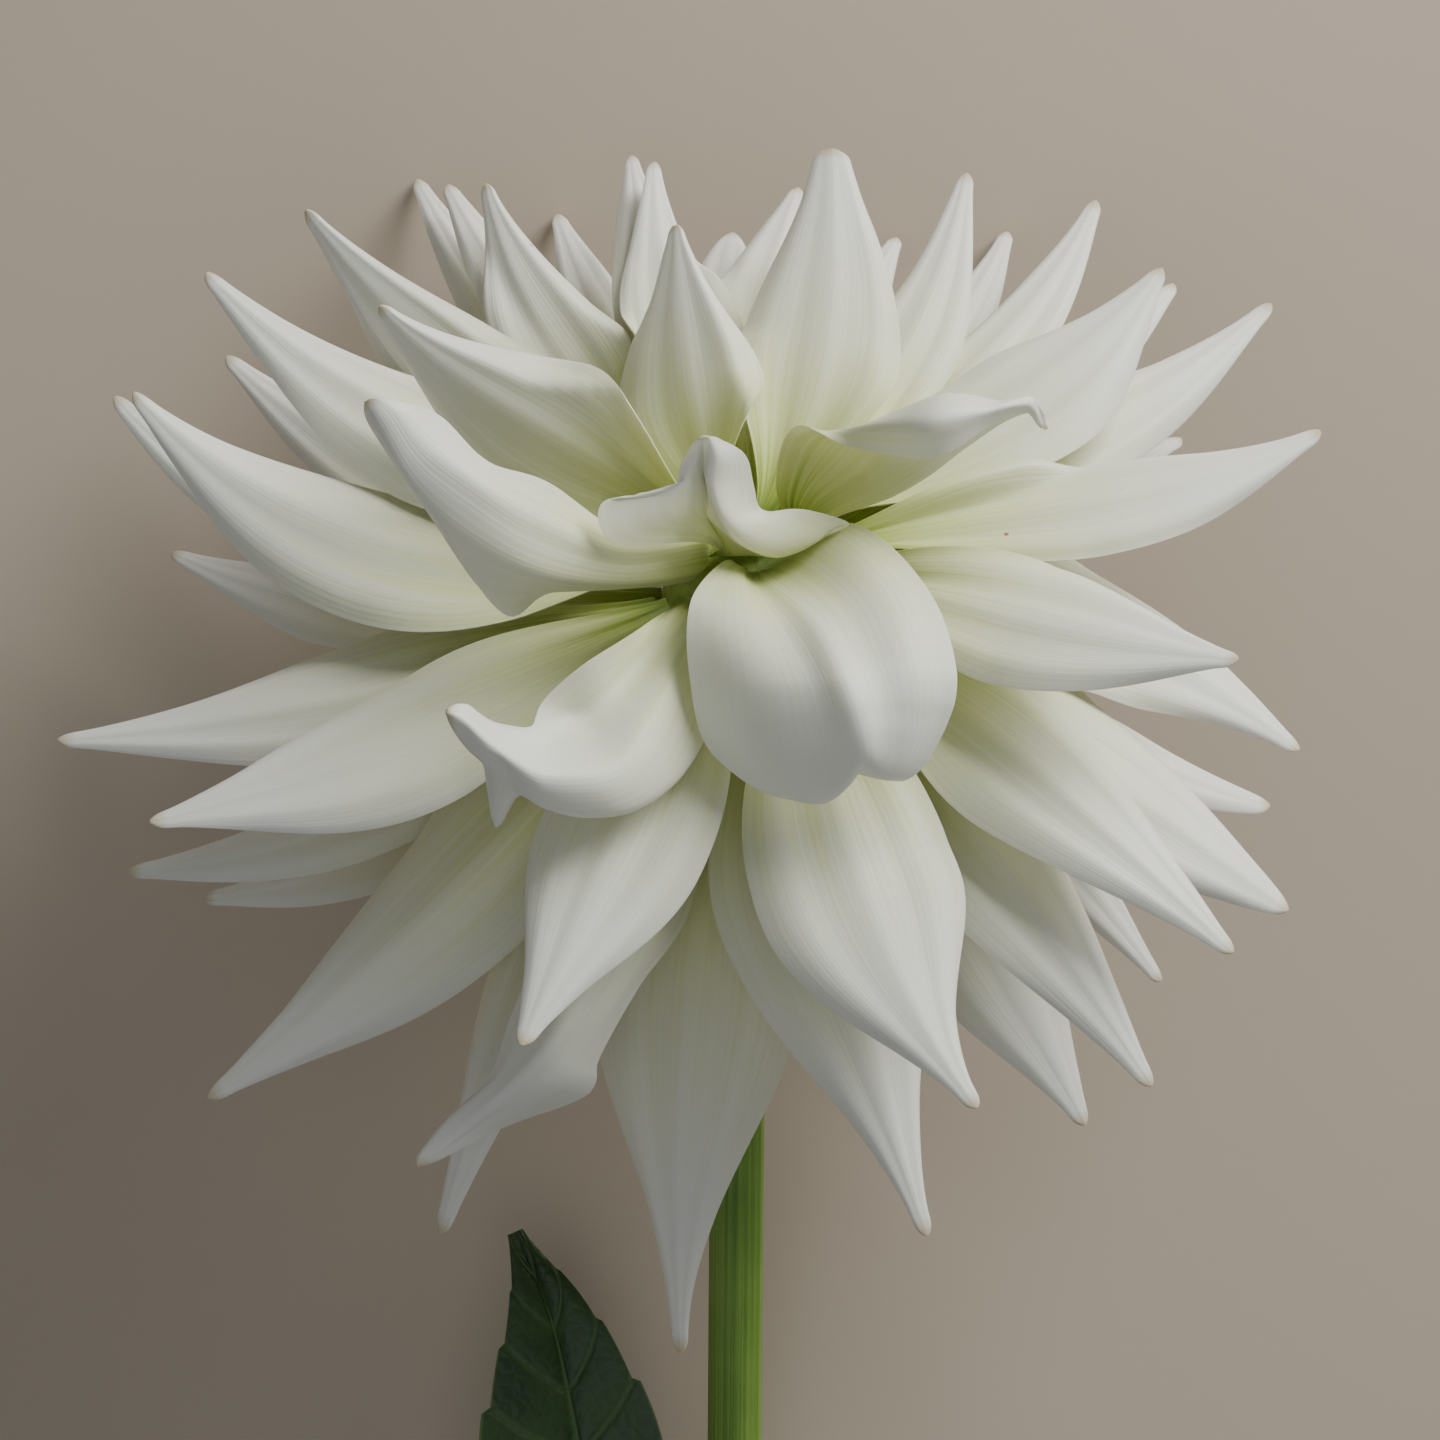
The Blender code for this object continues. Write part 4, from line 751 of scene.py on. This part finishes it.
def add_receptacle(material):
    """Dome that the florets sit on, with faint lobes."""
    points, faces = turned(dome_profile(4), 96, swell=0.008, lobes=16)
    return add_piece("floret_dome", points, faces, material, "receptacle")


def add_young_florets(material):
    """Unopened florets packed in a spiral cone at the middle of the dome."""
    points = []
    faces = []
    solids = []
    for k in range(YOUNG_FLORETS):
        share = (k + 0.5) / YOUNG_FLORETS
        polar = YOUNG_SPREAD * math.sqrt(share)
        lean = axis_direction(polar * YOUNG_LEAN, k * GOLDEN_ANGLE)
        height = DOME_RADIUS + YOUNG_FOOT + YOUNG_RISE * (1 - share ** YOUNG_DOMING)
        foot = axis_direction(polar, k * GOLDEN_ANGLE) * height
        east = unit(np.cross(lean, BUD_GUIDE))
        solids.append(turned(BUD_OUTLINE, BUD_SIDES, foot, lean, east))
    solids.append(turned(CORE_OUTLINE, CORE_SIDES))
    for solid_points, solid_faces in solids:
        start = len(points)
        points += solid_points
        faces += [tuple(start + i for i in face) for face in solid_faces]
    return add_piece(
        "young_floret_cone", points, faces, material, "young_florets"
    )


def stem_rings():
    """Centre, side, up and radius of the stem's rings from neck to cut end, and the way it ends."""
    route = smooth_route(STEM_ROUTE, np.linspace(0, len(STEM_ROUTE) - 1, STEM_RINGS))
    tangents = np.gradient(route, axis=0)
    tangents[0] = -AXIS
    rings = []
    for i, (centre, tangent) in enumerate(zip(route, tangents)):
        tangent = unit(tangent)
        side = unit(np.cross(tangent, STEM_GUIDE))
        up = np.cross(side, tangent)
        filled = min(1.0, STEM_FILLING * i / (STEM_RINGS - 1))
        swell = STEM_NODE_SWELL * math.exp(-((centre[1] - STEM_NODE) / STEM_NODE_REACH) ** 2)
        rings.append((centre, side, up, NECK_RADIUS + (STEM_RADIUS - NECK_RADIUS) * filled + swell))
    return rings, unit(tangents[-1])


def add_stem(skin, flesh):
    """Ribbed stem with a cut end: a rim of skin, a ring of flesh and the hollow pith."""
    rings, end = stem_rings()
    centre, side, up, radius = rings[-1]
    ribbed = len(rings)
    for grown, back in STEM_END_RINGS:
        rings.append((centre - end * back, side, up, radius * grown))
    for share in STEM_BORE_RINGS:
        inside = centre - end * STEM_BORE_DEPTH * share
        bore = STEM_BORE_RADIUS * (STEM_BORE_MOUTH - STEM_BORE_TAPER * share)
        rings.append((inside, side, up, bore))
    points = []
    marks = []
    for level, (centre, side, up, radius) in enumerate(rings):
        for k in range(STEM_SIDES):
            angle = math.tau * k / STEM_SIDES
            rib = STEM_RIB_HEIGHT if level <= ribbed else 0.0
            grown = radius * (1 + rib * math.cos(STEM_RIBS * angle + STEM_RIB_TWIST * centre[1]))
            points.append(centre + grown * (math.cos(angle) * side + math.sin(angle) * up))
            marks.append((math.cos(angle), math.sin(angle), centre[1] / STEM_RUN))
    faces = []
    for level in range(len(rings) - 1):
        for k in range(STEM_SIDES):
            here = level * STEM_SIDES + k
            there = level * STEM_SIDES + (k + 1) % STEM_SIDES
            faces.append((here, there, there + STEM_SIDES, here + STEM_SIDES))
    faces.append(tuple(range(STEM_SIDES)))
    last = (len(rings) - 1) * STEM_SIDES
    faces.append(tuple(last + k for k in reversed(range(STEM_SIDES))))
    piece = add_piece("cut_stem", points, faces, skin, "stem", marks, "run")
    piece.data.materials.append(flesh)
    neck_cap = len(faces) - 2
    for number, face in enumerate(piece.data.polygons):
        if number >= (ribbed - 1) * STEM_SIDES and number != neck_cap:
            face.material_index = 1
    return piece


def add_leaf(material):
    """Toothed leaf with a sunk midrib and side veins, narrowing to a channelled stalk."""
    route = smooth_route(LEAF_ROUTE, np.linspace(0, len(LEAF_ROUTE) - 1, LEAF_ROWS))
    tangents = np.gradient(route, axis=0)
    across = np.linspace(-1, 1, LEAF_COLUMNS)
    sheet = np.empty((LEAF_ROWS, LEAF_COLUMNS, 3))
    marks = np.empty((LEAF_ROWS, LEAF_COLUMNS, 3))
    for i, (centre, tangent) in enumerate(zip(route, tangents)):
        s = i / (LEAF_ROWS - 1)
        tangent = unit(tangent)
        face = unit(LEAF_FACE - (LEAF_FACE @ tangent) * tangent)
        side = np.cross(tangent, face)
        share = max(0.0, (s - LEAF_STALK) / (1 - LEAF_STALK))
        for j, c in enumerate(across):
            toothed = max(0.0, (abs(c) - 0.7) / 0.3)
            half = leaf_half(share, c, toothed)
            rise = leaf_fold(s, c, half) + leaf_veins(share, c, half)
            sheet[i, j] = centre + side * c * half + face * rise
            marks[i, j] = (c, share, half / LEAF_LEFT)
    thickness = np.full(sheet.shape[:2], LEAF_THICKNESS) * (1 - 0.4 * np.abs(across) ** 4)
    points, faces = solid_sheet(sheet, thickness)
    marks = np.tile(marks.reshape(-1, 3), (2, 1))
    return add_piece("toothed_leaf", points, faces, material, "leaf", marks)


def leaf_veins(share, c, half):
    """Sunk midrib and side veins of the leaf, in millimetres."""
    midrib_groove = math.exp(-(c * half / MIDRIB_GROOVE_HALF) ** 2)
    place = share * LEAF_TEETH - VEIN_SWEEP * abs(c)
    gap = abs(place - round(place)) * VEIN_SPACING
    side_groove = math.exp(-(gap / SIDE_GROOVE_HALF) ** 2)
    side_groove *= min(1.0, abs(c) * VEIN_FADE) * (1 - abs(c)) * min(1.0, share * VEIN_FADE)
    return -MIDRIB_GROOVE * midrib_groove - SIDE_GROOVE * side_groove


# ---- Materials ----

def new_material(name, roughness):
    """A material with its node tree and its Principled shader."""
    material = bpy.data.materials.new(name)
    material.use_nodes = True
    shader = material.node_tree.nodes["Principled BSDF"]
    shader.inputs["Roughness"].default_value = roughness
    shader.inputs["Metallic"].default_value = 0.0
    return material, material.node_tree, shader


def node(tree, kind, inputs, **settings):
    """A node with its settings, and its inputs given as values or as sockets to link."""
    made = tree.nodes.new(kind)
    for name, value in settings.items():
        setattr(made, name, value)
    for key, value in inputs.items():
        if isinstance(value, bpy.types.NodeSocket):
            tree.links.new(value, made.inputs[key])
        else:
            made.inputs[key].default_value = value
    return made


def calc(tree, operation, first, second=0.0):
    """Result of one sum on values or sockets."""
    return node(tree, "ShaderNodeMath", {0: first, 1: second}, operation=operation).outputs[0]


def times(tree, first, second):
    """Product of two values or sockets."""
    return calc(tree, "MULTIPLY", first, second)


def marks_of(tree, name):
    """The three values that each point carries under a name."""
    attribute = node(tree, "ShaderNodeAttribute", {}, attribute_name=name)
    return node(tree, "ShaderNodeSeparateXYZ", {0: attribute.outputs["Vector"]}).outputs


def noise(tree, vector, scale, detail=2.0):
    """Noise from 0 to 1, at a scale in cells for each unit of its place."""
    made = node(tree, "ShaderNodeTexNoise", {"Vector": vector, "Scale": scale, "Detail": detail})
    return made.outputs["Fac"]


def stretched_noise(tree, place, stretch, scale, detail):
    """Noise over three values, each with its own stretch."""
    x, y, z = (times(tree, value, factor) for value, factor in zip(place, stretch))
    vector = node(tree, "ShaderNodeCombineXYZ", {0: x, 1: y, 2: z}).outputs[0]
    return noise(tree, vector, scale, detail)


def ranged(tree, value, low, high, to_low, to_high):
    """The value carried from one range to another, and held at its ends."""
    inputs = {"Value": value, 1: low, 2: high, 3: to_low, 4: to_high}
    return node(tree, "ShaderNodeMapRange", inputs).outputs["Result"]


def mixed(tree, share, first, second):
    """A share of the second colour over the first."""
    made = node(tree, "ShaderNodeMix", {"Factor": share, 6: first, 7: second}, data_type="RGBA")
    return made.outputs[2]


def ramp(tree, value, stops):
    """Colour along a value through (place, colour) stops."""
    made = node(tree, "ShaderNodeValToRGB", {"Fac": value})
    elements = made.color_ramp.elements
    while len(elements) < len(stops):
        elements.new(1.0)
    for element, (place, colour) in zip(elements, stops):
        element.position = place
        element.color = (*colour, 1.0)
    return made.outputs["Color"]


def bump(tree, height, distance, strength):
    """Normal for fine relief, with its height in metres."""
    inputs = {"Height": height, "Distance": distance, "Strength": strength}
    return node(tree, "ShaderNodeBump", inputs).outputs["Normal"]


def object_place(tree):
    """Place on the flower, in metres."""
    return node(tree, "ShaderNodeTexCoord", {}).outputs["Object"]


def link_surface(tree, shader, colour, roughness, normal):
    """Leads a surface's colour, roughness and relief into its shader."""
    tree.links.new(colour, shader.inputs["Base Color"])
    tree.links.new(roughness, shader.inputs["Roughness"])
    tree.links.new(normal, shader.inputs["Normal"])


def set_glow(shader, weight, radius, scale):
    """Light that passes through thin tissue."""
    shader.inputs["Subsurface Weight"].default_value = weight
    shader.inputs["Subsurface Radius"].default_value = radius
    shader.inputs["Subsurface Scale"].default_value = scale


def petal_material():
    """White petal: green at its claw, faint lengthwise streaks and veins, a dry tip and a few specks."""
    material, tree, shader = new_material("petal_white", 0.5)
    across, along, seed = marks_of(tree, "blade")
    blade = (across, along, seed)
    streaks = stretched_noise(tree, blade, (4.5, 0.7, 43.0), 1.5, 3.0)
    veins = stretched_noise(tree, blade, (26.0, 1.2, 43.0), 1.0, 1.0)
    streak_reach = times(tree, calc(tree, "SUBTRACT", streaks, 0.5), 0.30)
    vein_reach = times(tree, calc(tree, "SUBTRACT", veins, 0.5), 0.16)
    reach = calc(tree, "ADD", calc(tree, "ADD", along, streak_reach), vein_reach)
    colour = ramp(tree, reach, PETAL_TONES)
    vein_shade = ranged(tree, veins, 0.3, 0.7, 0.30, 0.0)
    shade = times(tree, vein_shade, ranged(tree, along, 0.15, 0.75, 1.0, 0.2))
    colour = mixed(tree, shade, colour, PETAL_VEIN)
    dry = calc(tree, "ADD", along, times(tree, calc(tree, "SUBTRACT", streaks, 0.5), 0.03))
    colour = mixed(tree, ranged(tree, dry, 0.972, 0.998, 0.0, 0.75), colour, PETAL_DRY_TIP)
    cells = node(tree, "ShaderNodeTexVoronoi", {"Vector": object_place(tree), "Scale": 70.0})
    spot = ranged(tree, cells.outputs["Distance"], 0.022, 0.034, 1.0, 0.0)
    chosen = calc(tree, "GREATER_THAN", noise(tree, cells.outputs["Position"], 9.0, 0.0), 0.64)
    colour = mixed(tree, times(tree, spot, chosen), colour, PETAL_SPECK)
    cell_grain = noise(tree, object_place(tree), 2600.0, 1.0)
    roughness = ranged(tree, cell_grain, 0.3, 0.7, 0.44, 0.58)
    height = calc(tree, "ADD", veins, times(tree, cell_grain, 0.12))
    link_surface(tree, shader, colour, roughness, bump(tree, height, 0.00010, 0.6))
    set_glow(shader, 0.35, (1.0, 0.97, 0.78), 0.0018)
    shader.inputs["Sheen Weight"].default_value = 0.12
    shader.inputs["Sheen Roughness"].default_value = 0.4
    shader.inputs["Specular IOR Level"].default_value = 0.35
    return material


def green_material(name, tones, scale, roughness=0.5):
    """Soft green tissue with a mottled colour and a fine grain."""
    material, tree, shader = new_material(name, roughness)
    place = object_place(tree)
    mottle = noise(tree, place, scale, 4.0)
    colour = ramp(tree, mottle, tones)
    grain = noise(tree, place, scale * 7, 2.0)
    grain_roughness = ranged(tree, grain, 0.3, 0.7, roughness - 0.08, roughness + 0.1)
    link_surface(tree, shader, colour, grain_roughness, bump(tree, grain, 0.0003, 0.5))
    set_glow(shader, 0.15, (0.6, 1.0, 0.3), 0.0015)
    return material


def bract_material():
    """Green bract with lengthwise veins and a paler margin."""
    material, tree, shader = new_material("bract_green", 0.5)
    across, along, seed = marks_of(tree, "blade")
    veins = stretched_noise(tree, (across, along, seed), (12.0, 1.5, 1.0), 1.0, 2.0)
    colour = ramp(tree, veins, BRACT_TONES)
    margin = ranged(tree, calc(tree, "ABSOLUTE", across), 0.8, 1.0, 0.0, 0.6)
    colour = mixed(tree, margin, colour, BRACT_MARGIN)
    roughness = ranged(tree, veins, 0.3, 0.7, 0.42, 0.58)
    link_surface(tree, shader, colour, roughness, bump(tree, veins, 0.0004, 0.7))
    return material


def stem_material():
    """Green stem with pale lengthwise streaks and a fine grain."""
    material, tree, shader = new_material("stem_green", 0.42)
    around = marks_of(tree, "run")
    streaks = stretched_noise(tree, around, (5.0, 5.0, 0.6), 1.0, 3.0)
    threads = stretched_noise(tree, around, (22.0, 22.0, 1.6), 1.0, 2.0)
    blotch = noise(tree, object_place(tree), 55.0, 3.0)
    fine_tone = calc(tree, "ADD", times(tree, threads, 0.3), times(tree, blotch, 0.2))
    tone = calc(tree, "ADD", times(tree, streaks, 0.5), fine_tone)
    colour = ramp(tree, tone, STEM_TONES)
    roughness = ranged(tree, threads, 0.3, 0.7, 0.34, 0.52)
    grain = noise(tree, object_place(tree), 1800.0, 2.0)
    height = calc(tree, "ADD", threads, times(tree, grain, 0.25))
    link_surface(tree, shader, colour, roughness, bump(tree, height, 0.00035, 0.8))
    set_glow(shader, 0.12, (0.5, 1.0, 0.2), 0.002)
    return material


def leaf_material():
    """Dark green leaf with paler veins and margin and a quilted surface."""
    material, tree, shader = new_material("leaf_green", 0.46)
    across, share, _ = marks_of(tree, "blade")
    side = calc(tree, "ABSOLUTE", across)
    forward = times(tree, share, float(LEAF_TEETH))
    place = calc(tree, "SUBTRACT", forward, times(tree, side, VEIN_SWEEP))
    gap = calc(tree, "ABSOLUTE", calc(tree, "SUBTRACT", place, calc(tree, "ROUND", place)))
    side_vein = ranged(tree, gap, 0.03, 0.10, 1.0, 0.0)
    middle_vein = ranged(tree, side, 0.025, 0.06, 1.0, 0.0)
    vein = calc(tree, "MAXIMUM", middle_vein, times(tree, side_vein, 0.7))
    net = node(tree, "ShaderNodeTexVoronoi", {"Vector": object_place(tree), "Scale": 420.0},
               feature="DISTANCE_TO_EDGE").outputs["Distance"]
    net_line = ranged(tree, net, 0.02, 0.10, 1.0, 0.0)
    mottle = noise(tree, object_place(tree), 90.0, 4.0)
    colour = ramp(tree, mottle, LEAF_TONES)
    colour = mixed(tree, times(tree, net_line, 0.15), colour, LEAF_NET)
    colour = mixed(tree, times(tree, vein, 0.38), colour, LEAF_VEIN)
    colour = mixed(tree, ranged(tree, side, 0.965, 1.0, 0.0, 0.6), colour, LEAF_MARGIN)
    roughness = ranged(tree, mottle, 0.3, 0.7, 0.36, 0.52)
    height = calc(tree, "SUBTRACT", times(tree, net, 0.6), times(tree, vein, 0.5))
    link_surface(tree, shader, colour, roughness, bump(tree, height, 0.0005, 0.6))
    return material


def floor_material():
    """Plain pale floor with a slight mottle."""
    material, tree, shader = new_material("pale_floor", 0.9)
    mottle = noise(tree, object_place(tree), 3.0, 2.0)
    colour = ramp(tree, mottle, FLOOR_TONES)
    tree.links.new(colour, shader.inputs["Base Color"])
    return material


# ---- Floor, light and camera ----

def add_floor():
    """Flat floor that the flower lies on."""
    half = FLOOR_SIZE / 2
    mesh = bpy.data.meshes.new("floor")
    mesh.from_pydata([(-half, -half, 0), (half, -half, 0), (half, half, 0), (-half, half, 0)], [],
                     [(0, 1, 2, 3)])
    mesh.materials.append(floor_material())
    floor = bpy.data.objects.new("floor", mesh)
    bpy.context.scene.collection.objects.link(floor)


def add_area_light(name, direction, distance, size, power, colour):
    """A square soft light that looks at the head from a direction."""
    light = bpy.data.lights.new(name, "AREA")
    light.energy = power
    light.size = size
    light.color = colour
    lamp = bpy.data.objects.new(name, light)
    towards = Vector(direction).normalized()
    lamp.location = Vector(HEAD) + towards * distance
    lamp.rotation_euler = (-towards).to_track_quat("-Z", "Y").to_euler()
    bpy.context.scene.collection.objects.link(lamp)


def add_lights():
    """The two soft lights and the dim sky round them."""
    for light in LIGHTS:
        add_area_light(*light)
    world = bpy.data.worlds.new("soft_room")
    world.use_nodes = True
    background = world.node_tree.nodes["Background"]
    background.inputs["Color"].default_value = SKY_COLOUR
    background.inputs["Strength"].default_value = SKY_STRENGTH
    bpy.context.scene.world = world


def add_camera():
    """Camera straight over the head, with the stem running down the picture."""
    data = bpy.data.cameras.new("camera")
    data.sensor_width = 36.0
    data.lens = data.sensor_width * CAMERA_HEIGHT / VIEW_WIDTH
    data.shift_x, data.shift_y = VIEW_SHIFT
    camera = bpy.data.objects.new("camera", data)
    camera.location = Vector(HEAD) + Vector((0, 0, CAMERA_HEIGHT))
    bpy.context.scene.collection.objects.link(camera)
    bpy.context.scene.camera = camera


def add_florets():
    """Every bract and petal, from the settled lattices."""
    petal_white = petal_material()
    bract_green = bract_material()
    for number, (name, lattice) in enumerate(floret_sheets().items()):
        if name.startswith("bract"):
            add_blade(f"green_{name}", lattice, number, BRACT_THICKNESS, bract_green, name)
        else:
            add_blade(f"white_{name}", lattice, number, PETAL_THICKNESS, petal_white, name)


def main():
    """The whole flower, then its floor, lights and camera."""
    lime = green_material("receptacle_green", RECEPTACLE_TONES, 260.0)
    flesh = green_material("cut_flesh", FLESH_TONES, 420.0)
    add_florets()
    add_receptacle(lime)
    add_young_florets(lime)
    add_stem(stem_material(), flesh)
    add_leaf(leaf_material())
    add_floor()
    add_lights()
    add_camera()


HEAD = head_place()
main()
